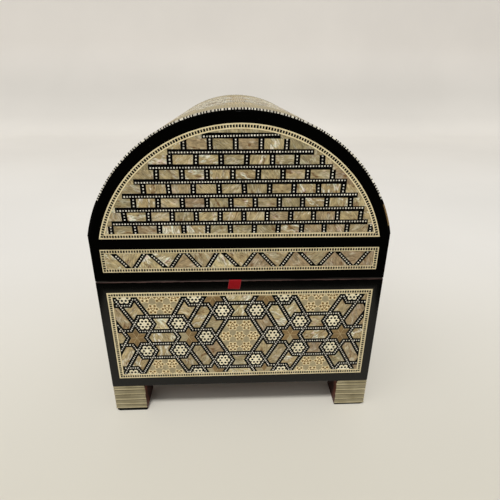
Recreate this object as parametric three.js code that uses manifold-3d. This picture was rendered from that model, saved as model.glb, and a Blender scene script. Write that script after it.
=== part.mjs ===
// A dome-topped wooden chest with marquetry panels, a hinged lid and four block feet.
// Millimetres, +Z up. The origin is the middle of the footprint, on the surface that the feet stand on.
// The front faces -Y. Left and right are as seen from the front.
import * as THREE from "three";
import { mergeVertices } from "three/addons/utils/BufferGeometryUtils.js";
import Module from "manifold-3d";

const wasm = await Module();
wasm.setup();

// Overall sizes
const width = 160; // left to right, over the walls
const depth = 200; // front to back, over the walls
const footHeight = 20;
const baseHeight = 73; // from the underside of the box to its rim
const seamGap = 0.3; // between the rim and the closed lid
const lidSideHeight = 26.7; // the straight part of the lid, below the vault
const vaultRise = 63.3; // from the springing of the vault to its crown

// Boards and skins
const wall = 8; // every upright board
const bottomBoard = 5;
const inlayDepth = 1.2; // the marquetry panels, let in flush
const vaultSkin = 1.2; // the marquetry sheet laid over the vault
const lining = 1;
const rimReveal = 1; // bare wood between a lining's edge and the seam

// Inlaid panels: plain black margins and the stringing round each field
const sideMargin = 5;
const panelTopMargin = 6.7;
const panelBottomMargin = 6.4;
const panelStringing = 2.9;
const bandBottomMargin = 5.6;
const bandHeight = 13.5;
const bandStringing = 2.4;
const lunetteSideMargin = 5.5;
const lunetteTopMargin = 6.6;
const lunetteDrop = 1.7; // how far the half-round panel's straight edge lies below the springing
const lunetteStringing = 2.8;
const vaultEndStringing = 3;
const vaultSideStringing = 4;

// Feet
const footWidth = 19.5;
const footFace = 8; // the front or back piece of each foot
const footReturn = 12; // the block behind it
const footOuterRound = 2;
const footInnerRound = 1;
const footHollow = 0.8; // how far the inner edge is hollowed

// Hinges: two brass butts in the back edge
const hingeSpacing = 90;
const hingeLength = 22;
const hingeInset = 1; // from the back face in to the pin's axis
const knuckleRadius = 2;
const knuckleMiddle = 7; // length of the lid's knuckle
const pinRadius = 0.9;
const pinHeadRadius = 1.6;
const pinHeadThickness = 0.7;
const runningGap = 0.3;
const leafThickness = 0.9;
const leafWidth = 4; // the flat of a leaf, behind its knuckles
const screwSpacing = 14;
const screwHeadRadius = 1.2;
const screwHeadDepth = 0.6;
const screwRadius = 0.65;
const screwLength = 5.5;
const screwSink = 0.05; // how far a head lies below its leaf
const slotWidth = 0.35;
const slotDepth = 0.3;
const bevelDegrees = 51; // each back edge is planed to this slope, and the two meet when the lid is open

// The pull ribbon
const ribbonWidth = 7;
const ribbonMiddle = -4; // its place along the front edge
const ribbonThickness = 0.4;
const ribbonDrop = 5.6; // how far it hangs below the rim
const ribbonStandOff = 0.5; // from the front face
const ribbonTail = 7; // glued length under the lid's front edge

const arcSteps = 32;
const roundSteps = 16;
const overshoot = 1; // how far a cutter runs past what it cuts

// Heights
const boxBottom = footHeight;
const rim = boxBottom + baseHeight;
const lidBottom = rim + seamGap;
const springing = lidBottom + lidSideHeight;
const crown = springing + vaultRise;
const axisHeight = rim + seamGap / 2;
const floorTop = boxBottom + bottomBoard;

// The vault is an arc through the tops of the side walls and the crown
const halfWidth = width / 2;
const halfDepth = depth / 2;
const vaultRadius = (halfWidth ** 2 + vaultRise ** 2) / (2 * vaultRise);
const vaultCentre = crown - vaultRadius;
const boardRadius = vaultRadius - vaultSkin;
const insideRadius = Math.hypot(halfWidth - wall, springing - vaultCentre);

// Materials
const finish = (color, roughness, metalness = 0) =>
  new THREE.MeshStandardMaterial({ color, roughness, metalness });
const lacquer = finish(0x14130f, 0.25);
const bareWood = finish(0x5a3420, 0.6);
const stringing = finish(0xdccda4, 0.4);
const marquetry = finish(0xa7957a, 0.3);
const cladding = finish(0x8f8465, 0.35);
const velvet = finish(0x7a1420, 0.95);
const ribbonSilk = finish(0xa01824, 0.6);
const brass = finish(0xb08d45, 0.35, 1);

// Shape helpers

// A prism along an axis. Its outline is (y, z) along x, (x, z) along y, and (x, y) along z.
function prism(axis, outline, from, to, hole) {
  const shape = new THREE.Shape(outline.map(([a, b]) => new THREE.Vector2(a, b)));
  if (hole) shape.holes.push(new THREE.Path(hole.map(([a, b]) => new THREE.Vector2(a, b))));
  const geometry = new THREE.ExtrudeGeometry(shape, { depth: to - from, bevelEnabled: false });
  const x = new THREE.Vector3(1, 0, 0);
  const y = new THREE.Vector3(0, 1, 0);
  const z = new THREE.Vector3(0, 0, 1);
  const turned = new THREE.Matrix4();
  if (axis === "x") turned.makeBasis(y, z, x).setPosition(from, 0, 0);
  if (axis === "y") turned.makeBasis(x, z, y.negate()).setPosition(0, to, 0);
  if (axis === "z") turned.setPosition(0, 0, from);
  return geometry.applyMatrix4(turned);
}

const rectangle = (a0, b0, a1, b1) => [
  [a0, b0],
  [a1, b0],
  [a1, b1],
  [a0, b1],
];

const box = (low, high) =>
  prism("z", rectangle(low[0], low[1], high[0], high[1]), low[2], high[2]);

// A round bar along x, made from the radii at places along it.
function turnedAlongX(profile, steps = roundSteps) {
  const points = profile.map(([along, radius]) => new THREE.Vector2(radius, along));
  return new THREE.LatheGeometry(points, steps).rotateZ(-Math.PI / 2);
}

// The same along z, with the first point lowest.
function turnedAlongZ(profile, steps = roundSteps) {
  const points = profile.map(([along, radius]) => new THREE.Vector2(radius, along));
  return new THREE.LatheGeometry(points, steps).rotateX(Math.PI / 2);
}

function solidOf(geometry) {
  const bare = new THREE.BufferGeometry();
  bare.setAttribute("position", geometry.getAttribute("position"));
  bare.setIndex(geometry.index);
  const merged = mergeVertices(bare, 1e-4);
  const mesh = new wasm.Mesh({
    numProp: 3,
    vertProperties: new Float32Array(merged.attributes.position.array),
    triVerts: new Uint32Array(merged.index.array),
  });
  return new wasm.Manifold(mesh);
}

function geometryOf(solid) {
  const mesh = solid.getMesh();
  const geometry = new THREE.BufferGeometry();
  geometry.setAttribute("position", new THREE.BufferAttribute(mesh.vertProperties, 3));
  geometry.setIndex(new THREE.BufferAttribute(mesh.triVerts, 1));
  return geometry;
}

const cut = (geometry, cutters) =>
  geometryOf(cutters.reduce((solid, c) => solid.subtract(solidOf(c)), solidOf(geometry)));
const join = (geometries) =>
  geometryOf(geometries.map(solidOf).reduce((whole, solid) => whole.add(solid)));
const common = (geometry, other) => geometryOf(solidOf(geometry).intersect(solidOf(other)));

// Points of an arc over the chest, from its right end to its left one, down to a height.
function archPoints(radius, centre, foot) {
  const reach = Math.acos((foot - centre) / radius);
  const points = [];
  for (let i = 0; i <= arcSteps; i++) {
    const angle = reach * (1 - (2 * i) / arcSteps);
    points.push([radius * Math.sin(angle), centre + radius * Math.cos(angle)]);
  }
  points[0][1] = foot;
  points[arcSteps][1] = foot;
  return points;
}

const chest = new THREE.Group();

function addPiece(group, name, geometry, material) {
  const mesh = new THREE.Mesh(geometry, material);
  mesh.name = name;
  group.add(mesh);
}

// Each wall is drawn in its own group as seen from outside: x runs along it, and y runs from its
// outer face into the chest.
function wallGroup(turnDegrees, outward, length) {
  const turn = THREE.MathUtils.degToRad(turnDegrees);
  const group = new THREE.Group();
  group.rotation.z = turn;
  group.position.set(outward * Math.sin(turn), -outward * Math.cos(turn), 0);
  group.userData = { length };
  chest.add(group);
  return group;
}
const walls = {
  front: wallGroup(0, halfDepth, width),
  right: wallGroup(90, halfWidth, depth),
  back: wallGroup(180, halfDepth, width),
  left: wallGroup(270, halfWidth, depth),
};

// The cuts for the hinges, in the back wall's group. up is +1 for the lid's edge and -1 for the rim.
const hingeCentres = [-hingeSpacing / 2, hingeSpacing / 2];
const knuckleRoom = knuckleRadius + runningGap;
const leafFace = seamGap / 2; // from the pin's axis to the face of a leaf
const leafEnd = knuckleRoom + leafWidth;
const screwPlace = knuckleRoom + leafWidth / 2;

const edgeBox = (centre, half, yFrom, yTo, up, zFrom, zTo) =>
  box(
    [centre - half, hingeInset + yFrom, axisHeight + Math.min(up * zFrom, up * zTo)],
    [centre + half, hingeInset + yTo, axisHeight + Math.max(up * zFrom, up * zTo)],
  );

function hingeCuts(up) {
  const cuts = [];
  const outside = -hingeInset - overshoot;
  const knuckleHalf = hingeLength / 2 + pinHeadThickness + runningGap;
  const boreLength = screwLength + screwSink + runningGap;
  for (const centre of hingeCentres) {
    const seat = leafFace + leafThickness;
    cuts.push(edgeBox(centre, hingeLength / 2, outside, leafEnd, up, -overshoot, seat));
    cuts.push(edgeBox(centre, knuckleHalf, outside, knuckleRoom, up, -overshoot, knuckleRoom));
    for (const side of [-1, 1]) {
      const bore = turnedAlongZ([
        [0, 0],
        [0, screwRadius + runningGap],
        [boreLength, screwRadius + runningGap],
        [boreLength, 0],
      ]);
      if (up < 0) bore.rotateX(Math.PI);
      bore.translate(
        centre + (side * screwSpacing) / 2,
        hingeInset + screwPlace,
        axisHeight + up * leafFace,
      );
      cuts.push(bore);
    }
  }
  return cuts;
}

// The planed slope of a back edge, from the hinge's axis out through the back face, as distances
// in from that face and heights.
function bevelOutline(up) {
  const out = hingeInset + overshoot;
  const rise = out * Math.tan(THREE.MathUtils.degToRad(bevelDegrees));
  return [
    [hingeInset, axisHeight],
    [-overshoot, axisHeight + up * rise],
    [-overshoot, axisHeight - up * out],
    [hingeInset, axisHeight - up * out],
  ];
}

// The slope runs through the back board and on through the mitred ends of the side boards.
function bevelCut(side, up) {
  if (side === "back") {
    return prism("x", bevelOutline(up), -halfWidth - overshoot, halfWidth + overshoot);
  }
  const backEnd = side === "right" ? 1 : -1;
  const outline = bevelOutline(up).map(([inward, z]) => [backEnd * (halfDepth - inward), z]);
  return prism("y", outline, -overshoot, wall + overshoot);
}

// Boards of the base

const mitredPlan = (length) => [
  [-length / 2, 0],
  [length / 2, 0],
  [length / 2 - wall, wall],
  [-length / 2 + wall, wall],
];

function rectangularPanel(length, bottom, top, border) {
  const half = length / 2 - sideMargin;
  return {
    recess: prism("y", rectangle(-half, bottom, half, top), -overshoot, inlayDepth),
    frame: prism(
      "y",
      rectangle(-half, bottom, half, top),
      0,
      inlayDepth,
      rectangle(-half + border, bottom + border, half - border, top - border),
    ),
    field: prism(
      "y",
      rectangle(-half + border, bottom + border, half - border, top - border),
      0,
      inlayDepth,
    ),
  };
}

function addBaseWall(side) {
  const group = walls[side];
  const { length } = group.userData;
  const panel = rectangularPanel(
    length,
    boxBottom + panelBottomMargin,
    rim - panelTopMargin,
    panelStringing,
  );
  const cuts = [panel.recess];
  if (side === "back") cuts.push(...hingeCuts(-1));
  if (side !== "front") cuts.push(bevelCut(side, -1));
  addPiece(group, `base_${side}_board`, cut(prism("z", mitredPlan(length), boxBottom, rim), cuts), lacquer);
  addPiece(group, `base_${side}_stringing`, panel.frame, stringing);
  addPiece(group, `base_${side}_marquetry`, panel.field, marquetry);
}

function addBottom() {
  const x = halfWidth - wall;
  const y = halfDepth - wall;
  const insideX = x - lining;
  const insideY = y - lining;
  const inside = rectangle(-insideX, -insideY, insideX, insideY);
  const walling = prism("z", rectangle(-x, -y, x, y), floorTop, rim - rimReveal, inside);
  addPiece(chest, "base_bottom_board", box([-x, -y, boxBottom], [x, y, floorTop]), bareWood);
  addPiece(chest, "base_wall_lining", walling, velvet);
  addPiece(chest, "base_floor_lining", prism("z", inside, floorTop, floorTop + lining), velvet);
}

// Feet

// One foot's outline from the front, with its outer side at x = 0 and its inner side towards +x.
function footOutline() {
  const path = new THREE.Path();
  path.moveTo(0, footHeight);
  path.lineTo(0, footOuterRound);
  path.absarc(footOuterRound, footOuterRound, footOuterRound, Math.PI, 1.5 * Math.PI, false);
  path.lineTo(footWidth - footInnerRound, 0);
  path.absarc(footWidth - footInnerRound, footInnerRound, footInnerRound, 1.5 * Math.PI, 2 * Math.PI, false);
  const hollowMiddle = (footHeight + footInnerRound) / 2;
  path.quadraticCurveTo(footWidth - 2 * footHollow, hollowMiddle, footWidth, footHeight);
  return path.getPoints(6).map((p) => [p.x, p.y]);
}

function addFoot(end, endSign, side, sideSign) {
  const outline = footOutline().map(([x, z]) => [sideSign * (halfWidth - x), z]);
  const outer = endSign * halfDepth;
  const joint = outer - endSign * footFace;
  const inner = joint - endSign * footReturn;
  const face = prism("y", outline, Math.min(outer, joint), Math.max(outer, joint));
  const block = prism("y", outline, Math.min(joint, inner), Math.max(joint, inner));
  addPiece(chest, `foot_${end}_${side}_face`, face, cladding);
  addPiece(chest, `foot_${end}_${side}_return`, block, bareWood);
}

// Lid

function lunettePanel() {
  const half = halfWidth - lunetteSideMargin;
  const bottom = springing - lunetteDrop;
  const top = crown - lunetteTopMargin;
  const rise = top - bottom;
  const radius = (half ** 2 + rise ** 2) / (2 * rise);
  const centre = top - radius;
  const outer = archPoints(radius, centre, bottom);
  const inner = archPoints(radius - lunetteStringing, centre, bottom + lunetteStringing);
  return {
    recess: prism("y", outer, -overshoot, inlayDepth),
    frame: prism("y", outer, 0, inlayDepth, inner),
    field: prism("y", inner, 0, inlayDepth),
  };
}

// Where an end board meets the side rails below the springing, its corner is cut to a mitre.
function mitreCut(sideSign) {
  const corner = halfWidth + overshoot;
  const plan = [
    [sideSign * corner, -overshoot],
    [sideSign * corner, wall + overshoot],
    [sideSign * (corner - wall - 2 * overshoot), wall + overshoot],
  ];
  return prism("z", plan, lidBottom - overshoot, springing);
}

const bandPanel = (length) =>
  rectangularPanel(
    length,
    lidBottom + bandBottomMargin,
    lidBottom + bandBottomMargin + bandHeight,
    bandStringing,
  );

function addLidEnd(side) {
  const group = walls[side];
  const outline = [
    [-halfWidth, springing],
    [-halfWidth, lidBottom],
    [halfWidth, lidBottom],
    [halfWidth, springing],
    ...archPoints(boardRadius, vaultCentre, springing),
  ];
  const band = bandPanel(width);
  const lunette = lunettePanel();
  const cuts = [band.recess, lunette.recess, mitreCut(-1), mitreCut(1)];
  if (side === "back") cuts.push(...hingeCuts(1), bevelCut(side, 1));
  if (side === "front") cuts.push(ribbonSeat());
  addPiece(group, `lid_${side}_board`, cut(prism("y", outline, 0, wall), cuts), lacquer);
  addPiece(group, `lid_${side}_band_stringing`, band.frame, stringing);
  addPiece(group, `lid_${side}_band_marquetry`, band.field, marquetry);
  addPiece(group, `lunette_${side}_stringing`, lunette.frame, stringing);
  addPiece(group, `lunette_${side}_marquetry`, lunette.field, marquetry);
}

function addLidRail(side) {
  const group = walls[side];
  const { length } = group.userData;
  const band = bandPanel(length);
  const cuts = [band.recess, bevelCut(side, 1)];
  const rail = cut(prism("z", mitredPlan(length), lidBottom, springing), cuts);
  addPiece(group, `lid_${side}_rail`, rail, lacquer);
  addPiece(group, `lid_${side}_band_stringing`, band.frame, stringing);
  addPiece(group, `lid_${side}_band_marquetry`, band.field, marquetry);
}

// A shell between two arches that stand on the springing.
const archedShell = (outerRadius, innerRadius, halfLength) =>
  prism(
    "y",
    [
      ...archPoints(outerRadius, vaultCentre, springing),
      ...archPoints(innerRadius, vaultCentre, springing).reverse(),
    ],
    -halfLength,
    halfLength,
  );

function addVault() {
  const halfInside = halfDepth - wall;
  addPiece(chest, "vault_panel", archedShell(boardRadius, insideRadius, halfInside), bareWood);
  const sheet = archedShell(vaultRadius, boardRadius, halfDepth);
  const window = box(
    [-width, -halfDepth + vaultEndStringing, springing + vaultSideStringing],
    [width, halfDepth - vaultEndStringing, crown + overshoot],
  );
  addPiece(chest, "vault_stringing", cut(sheet, [window]), stringing);
  addPiece(chest, "vault_marquetry", common(sheet, window), marquetry);
}

function addLidLinings() {
  const halfInside = halfDepth - wall;
  const x = halfWidth - wall;
  const foot = lidBottom + rimReveal;
  const arch = archPoints(insideRadius, vaultCentre, springing);
  const endOutline = [[-x, foot], [x, foot], ...arch];
  addPiece(chest, "lid_front_lining", prism("y", endOutline, -halfInside, -halfInside + lining), velvet);
  addPiece(chest, "lid_back_lining", prism("y", endOutline, halfInside - lining, halfInside), velvet);
  const innerArch = archPoints(insideRadius - lining, vaultCentre, springing);
  const bent = [
    [x, foot],
    ...arch,
    [-x, foot],
    [-x + lining, foot],
    ...innerArch.reverse(),
    [x - lining, foot],
  ];
  addPiece(chest, "lid_vault_lining", prism("y", bent, -halfInside + lining, halfInside - lining), velvet);
}

// The ribbon is glued under the lid's front edge and hangs in front of the base.
function ribbonSeat() {
  const half = ribbonWidth / 2;
  return box(
    [ribbonMiddle - half, -overshoot, lidBottom - overshoot],
    [ribbonMiddle + half, ribbonTail, lidBottom + ribbonThickness],
  );
}

function addRibbon() {
  const top = lidBottom + ribbonThickness;
  const outside = -ribbonStandOff - ribbonThickness;
  const outline = [
    [ribbonTail, lidBottom],
    [ribbonTail, top],
    [outside, top],
    [outside, rim - ribbonDrop],
    [-ribbonStandOff, rim - ribbonDrop],
    [-ribbonStandOff, lidBottom],
  ];
  const half = ribbonWidth / 2;
  addPiece(walls.front, "pull_ribbon", prism("x", outline, ribbonMiddle - half, ribbonMiddle + half), ribbonSilk);
}

// Hinges

function screwProfile(extra) {
  return [
    [-screwLength, 0],
    [-screwLength, screwRadius + extra],
    [-screwHeadDepth, screwRadius + extra],
    [0, screwHeadRadius + extra],
    [0, 0],
  ];
}

function screw() {
  const slot = box(
    [-screwHeadRadius - overshoot, -slotWidth / 2, -slotDepth],
    [screwHeadRadius + overshoot, slotWidth / 2, overshoot],
  );
  return cut(turnedAlongZ(screwProfile(0)), [slot]);
}

// A leaf with its knuckles, in the hinge's own frame: the pin lies on x and the leaf reaches to +y.
function hingeLeaf(up, knuckles) {
  const zOf = (near, far) => [Math.min(up * near, up * far), Math.max(up * near, up * far)];
  const [low, high] = zOf(leafFace, leafFace + leafThickness);
  const half = hingeLength / 2;
  const parts = [box([-half, knuckleRoom, low], [half, leafEnd, high])];
  for (const [from, to] of knuckles) {
    parts.push(box([from, 0, low], [to, knuckleRoom + overshoot, high]));
    parts.push(
      turnedAlongX([
        [from, 0],
        [from, knuckleRadius],
        [to, knuckleRadius],
        [to, 0],
      ]),
    );
  }
  const bore = pinRadius + runningGap;
  const cuts = [
    turnedAlongX([
      [-half - overshoot, 0],
      [-half - overshoot, bore],
      [half + overshoot, bore],
      [half + overshoot, 0],
    ]),
  ];
  for (const side of [-1, 1]) {
    const hole = turnedAlongZ([
      ...screwProfile(runningGap / 2).slice(0, -1),
      [overshoot, screwHeadRadius + runningGap / 2],
      [overshoot, 0],
    ]);
    if (up > 0) hole.rotateX(Math.PI);
    hole.translate((side * screwSpacing) / 2, screwPlace, up * (leafFace + screwSink));
    cuts.push(hole);
  }
  return cut(join(parts), cuts);
}

function addHinge(side, centre) {
  const group = new THREE.Group();
  group.position.set(centre, hingeInset, axisHeight);
  walls.back.add(group);
  const half = hingeLength / 2;
  const middle = knuckleMiddle / 2;
  const outer = middle + runningGap;
  addPiece(group, `hinge_${side}_base_leaf`, hingeLeaf(-1, [[-half, -outer], [outer, half]]), brass);
  addPiece(group, `hinge_${side}_lid_leaf`, hingeLeaf(1, [[-middle, middle]]), brass);
  const pin = turnedAlongX([
    [-half - pinHeadThickness, 0],
    [-half - pinHeadThickness, pinHeadRadius],
    [-half, pinHeadRadius],
    [-half, pinRadius],
    [half, pinRadius],
    [half, pinHeadRadius],
    [half + pinHeadThickness, pinHeadRadius],
    [half + pinHeadThickness, 0],
  ]);
  addPiece(group, `hinge_${side}_pin`, pin, brass);
  for (const [leaf, up] of [["base", -1], ["lid", 1]]) {
    for (const [place, sign] of [["outer", -1], ["inner", 1]]) {
      const turned = screw();
      if (up > 0) turned.rotateX(Math.PI);
      const toMiddle = centre > 0 ? -sign : sign;
      turned.translate((toMiddle * screwSpacing) / 2, screwPlace, up * (leafFace + screwSink));
      addPiece(group, `hinge_${side}_${leaf}_screw_${place}`, turned, brass);
    }
  }
}

for (const side of ["front", "right", "back", "left"]) addBaseWall(side);
addBottom();
for (const [end, endSign] of [["front", -1], ["back", 1]]) {
  for (const [side, sideSign] of [["left", -1], ["right", 1]]) addFoot(end, endSign, side, sideSign);
}
addLidEnd("front");
addLidEnd("back");
addLidRail("left");
addLidRail("right");
addVault();
addLidLinings();
addRibbon();
addHinge("right", hingeCentres[0]);
addHinge("left", hingeCentres[1]);

export default chest;
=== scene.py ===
# %% [markdown]
# # An inlaid chest
#
# The chest is a small dome-topped box of black-lacquered boards. Its panels hold mother of pearl,
# bone, black wood and brown wood, cut small and fitted together. The lesson dresses a finished set
# of boards, hinges and linings, which arrive as a fixed frame in metres. The boards keep their
# places. What this file adds is the surface: the tiles, the stringing, the cladding and the finishes.

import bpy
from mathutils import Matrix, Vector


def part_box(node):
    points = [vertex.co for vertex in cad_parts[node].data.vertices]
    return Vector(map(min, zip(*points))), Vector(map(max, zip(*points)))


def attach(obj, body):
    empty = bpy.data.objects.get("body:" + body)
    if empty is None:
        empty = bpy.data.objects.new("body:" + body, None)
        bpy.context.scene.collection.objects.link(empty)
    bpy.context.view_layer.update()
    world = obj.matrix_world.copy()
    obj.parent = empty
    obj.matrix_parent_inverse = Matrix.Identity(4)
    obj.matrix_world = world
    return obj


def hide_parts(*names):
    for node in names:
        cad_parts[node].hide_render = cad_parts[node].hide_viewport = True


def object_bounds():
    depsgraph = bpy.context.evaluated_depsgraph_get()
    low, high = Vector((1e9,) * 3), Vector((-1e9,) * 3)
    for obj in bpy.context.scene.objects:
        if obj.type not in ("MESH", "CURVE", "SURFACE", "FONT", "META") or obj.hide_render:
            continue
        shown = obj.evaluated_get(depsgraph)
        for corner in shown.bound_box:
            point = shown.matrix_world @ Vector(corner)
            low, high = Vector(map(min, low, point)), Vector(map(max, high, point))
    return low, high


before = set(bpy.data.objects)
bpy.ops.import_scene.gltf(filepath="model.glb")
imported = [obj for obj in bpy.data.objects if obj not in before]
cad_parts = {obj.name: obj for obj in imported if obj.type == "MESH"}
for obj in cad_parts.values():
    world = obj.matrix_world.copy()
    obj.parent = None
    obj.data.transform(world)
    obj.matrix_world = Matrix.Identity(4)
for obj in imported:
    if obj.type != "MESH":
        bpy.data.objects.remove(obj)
cad_low, cad_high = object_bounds()
print("the frame measures", [round(1000 * (b - a), 1) for a, b in zip(cad_low, cad_high)], "mm")

# %% Tools of the lesson
import cmath
import math
import random
from collections import namedtuple

import bpy
import numpy as np
from mathutils import Matrix, Vector

MM = 0.001
bpy.ops.object.select_all(action="DESELECT")


def only(piece):
    """Selects one object alone, and makes it the active one."""
    bpy.ops.object.select_all(action="DESELECT")
    piece.select_set(True)
    bpy.context.view_layer.objects.active = piece


def editing(piece, select="SELECT"):
    """Opens one object in edit mode, with all or none of it selected."""
    only(piece)
    bpy.ops.object.mode_set(mode="EDIT")
    bpy.ops.mesh.select_mode(type="FACE")
    bpy.ops.mesh.select_all(action=select)


def done():
    bpy.ops.object.mode_set(mode="OBJECT")


def mounted(piece, body, slot, *nodes):
    """Hangs a piece under the body it moves with, and hides the nodes that it stands for."""
    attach(piece, body)
    if nodes:
        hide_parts(*nodes)
    return piece


# %% [markdown]
# ## The camera
#
# The picture was taken from in front, a little above the crown of the lid, and the camera looked
# down at the chest. The nearness shows in the front, which looks larger than the sides. A short lens
# close by gives the same view, so the camera stands at its measured place with its measured lens.

# %% Camera
EYE = Vector((-4.5, -292.3, 194.3)) * MM
YAW = math.radians(2.70)
PITCH = math.radians(23.30)
ROLL = math.radians(-0.44)
LENS = 28.08
SENSOR = 36


def add_camera():
    forward = Vector((
        math.sin(YAW) * math.cos(PITCH),
        math.cos(YAW) * math.cos(PITCH),
        -math.sin(PITCH),
    ))
    level = Vector((math.cos(YAW), -math.sin(YAW), 0))
    down = forward.cross(level)
    right = math.cos(ROLL) * level + math.sin(ROLL) * down
    up = math.sin(ROLL) * level - math.cos(ROLL) * down
    data = bpy.data.cameras.new("camera")
    data.lens = LENS
    data.sensor_width = SENSOR
    data.clip_start = 0.01
    camera = bpy.data.objects.new("camera", data)
    bpy.context.scene.collection.objects.link(camera)
    turn = Matrix((right, up, -forward)).transposed().to_4x4()
    camera.matrix_world = Matrix.Translation(EYE) @ turn
    bpy.context.scene.camera = camera


add_camera()
print("camera", [round(v, 3) for v in EYE])

# %% [markdown]
# ## Shader sums
#
# A finish is a sum of noises, stripes and masks. Written as nodes one by one it would be hard to
# read, so a small class wraps one output and lets plain Python sums stand for Math nodes. Every
# other node comes from one method, which sets the node up first and then fills its sockets.

# %% Expressions on sockets
def colour(red, green, blue):
    """A colour given as it looks on a screen, from 0 to 255, as the shader wants it."""
    def straight(v):
        v /= 255
        return v / 12.92 if v <= 0.04045 else ((v + 0.055) / 1.055) ** 2.4

    return (straight(red), straight(green), straight(blue), 1)


class Wire:
    """One output of a node, with sums on it."""

    def __init__(self, finish, socket):
        self.finish = finish
        self.socket = socket

    def sum(self, operation, other, swap=False):
        values = [other, self] if swap else [self, other]
        return self.finish.node("ShaderNodeMath", {"operation": operation}, dict(enumerate(values)))[0]

    def __add__(self, other):
        return self.sum("ADD", other)

    __radd__ = __add__

    def __mul__(self, other):
        return self.sum("MULTIPLY", other)

    __rmul__ = __mul__

    def __sub__(self, other):
        return self.sum("SUBTRACT", other)

    def __rsub__(self, other):
        return self.sum("SUBTRACT", other, swap=True)

    def step(self, low, high):
        """0 below low and 1 above high, with a soft slope between them."""
        span = self.finish.node("ShaderNodeMapRange", {"interpolation_type": "SMOOTHSTEP"}, {
            "Value": self,
            "From Min": low,
            "From Max": high,
        })
        return span[0]


class Finish:
    """A material under construction."""

    def __init__(self, name):
        self.material = bpy.data.materials.new(name)
        self.material.use_nodes = True
        self.tree = self.material.node_tree
        self.tree.nodes.clear()
        self.shader = self.tree.nodes.new("ShaderNodeBsdfPrincipled")
        output = self.tree.nodes.new("ShaderNodeOutputMaterial")
        self.tree.links.new(self.shader.outputs[0], output.inputs[0])

    def fill(self, socket, value):
        if isinstance(value, Wire):
            self.tree.links.new(value.socket, socket)
        else:
            socket.default_value = value

    def node(self, kind, settings=None, inputs=None):
        """Adds a node, sets it up, fills its sockets and returns its outputs as wires."""
        made = self.tree.nodes.new(kind)
        for name, value in (settings or {}).items():
            setattr(made, name, value)
        for name, value in (inputs or {}).items():
            self.fill(made.inputs[name], value)
        return [Wire(self, s) for s in made.outputs]

    def set(self, **values):
        """Fills the shader's sockets, with _ for a space: set(base_color=..., roughness=0.3)."""
        for name, value in values.items():
            self.fill(self.shader.inputs[name.replace("_", " ").title().replace("Ior", "IOR")], value)
        return self.material

    def ramp(self, value, stops):
        made = self.tree.nodes.new("ShaderNodeValToRGB")
        stripes = made.color_ramp.elements
        while len(stripes) < len(stops):
            stripes.new(0.5)
        for stripe, (place, shade) in zip(stripes, stops):
            stripe.position = place
            stripe.color = shade
        self.fill(made.inputs[0], value)
        return Wire(self, made.outputs[0])

    def mix(self, factor, first, second):
        made = self.tree.nodes.new("ShaderNodeMix")
        made.data_type = "RGBA"
        for name, value in (("Factor_Float", factor), ("A_Color", first), ("B_Color", second)):
            self.fill(next(s for s in made.inputs if s.identifier == name), value)
        return Wire(self, next(s for s in made.outputs if s.identifier == "Result_Color"))

    def tint(self, value, amount):
        """A colour times a number."""
        return self.node("ShaderNodeVectorMath", {"operation": "SCALE"}, {0: value, "Scale": amount})[0]

    def face_value(self, name):
        """A number that each face carries."""
        return self.node("ShaderNodeAttribute", {"attribute_name": name})[2]

    def place(self):
        """Where a point is in the chest, in metres."""
        return self.node("ShaderNodeTexCoord")[3]

    def bench(self):
        """Where a point is on its panel, in millimetres from the panel's middle."""
        return self.node("ShaderNodeUVMap", {"uv_map": "bench"})[0]

    def stretch(self, where, x, y, z):
        return self.node("ShaderNodeMapping", None, {"Vector": where, "Scale": (x, y, z)})[0]

    def axis(self, where, index):
        return self.node("ShaderNodeSeparateXYZ", None, {0: where})[index]

    def noise(self, where, scale, detail=2, rough=0.5, warp=0.0):
        return self.node("ShaderNodeTexNoise", None, {
            "Vector": where,
            "Scale": scale,
            "Detail": detail,
            "Roughness": rough,
            "Distortion": warp,
        })[0]

    def bump(self, height, distance, strength=1):
        return self.node("ShaderNodeBump", None, {
            "Height": height,
            "Distance": distance,
            "Strength": strength,
        })[0]


# %% [markdown]
# ## Floor, backdrop and light
#
# The chest stands on a pale cloth that rises behind it. A sheet with a bend does that: a plane is
# added, its far edge is pulled up, and the fold is rounded. The cloth is painted a little darker in
# the fold, which faces the light, and paler up the wall, so that the backdrop looks even. A soft
# light comes from all round, and a broad lamp at the upper left gives the chest a soft shadow at its
# right. The strongest light comes from above and in front, and draws the clear shadow between the
# feet. Polished black shows whatever it faces, and in the picture it faces a dark room, so dark
# cards stand round the chest that only reflections see.

# %% Stage
FLOOR_HALF = 1.6
FLOOR_RISE = 1.3
FLOOR_BEND = 0.35
FLOOR_WIDER = 1.7
FLOOR_TOUCH = 0.01
CARD_LENGTH = 1.4
CARD_AWAY = 0.30
CARD_HEIGHT = 0.75
CARD_LOW = 0.17
FRONT_CARD_AWAY = 0.12
LAMP_WHITE = (1, 0.985, 0.965)
SKY = 0.34
CEILING = 2.1
CEILING_WIDTH = 0.17
CEILING_WAY = (0.07, 0.4, -1)
WINDOW = 4.4
WINDOW_WIDTH = 1.1
WINDOW_PLACE = (-0.55, -0.75, 1.25)
WINDOW_AIM = Vector((0, 0, 0.1))


def paper():
    """Pale cloth, a little uneven, with its zones by the distance back and by the height."""
    f = Finish("pale_cloth")
    where = f.place()
    cloudy = f.noise(where, 2.2, 3).step(0.3, 0.7)
    far = f.axis(where, 1)
    high = f.axis(where, 2)
    cloth = f.mix(far.step(-0.3, 0.2), colour(209, 205, 191), colour(226, 224, 219))
    cloth = f.mix(far.step(0.3, 0.9), cloth, colour(217, 214, 208))
    cloth = f.mix(high.step(0.01, 0.07), cloth, colour(211, 208, 202))
    cloth = f.mix(high.step(0.13, 0.36), cloth, colour(241, 237, 231))
    f.set(base_color=f.tint(cloth, 1 - cloudy * 0.05), roughness=0.9)
    return f.material


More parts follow.
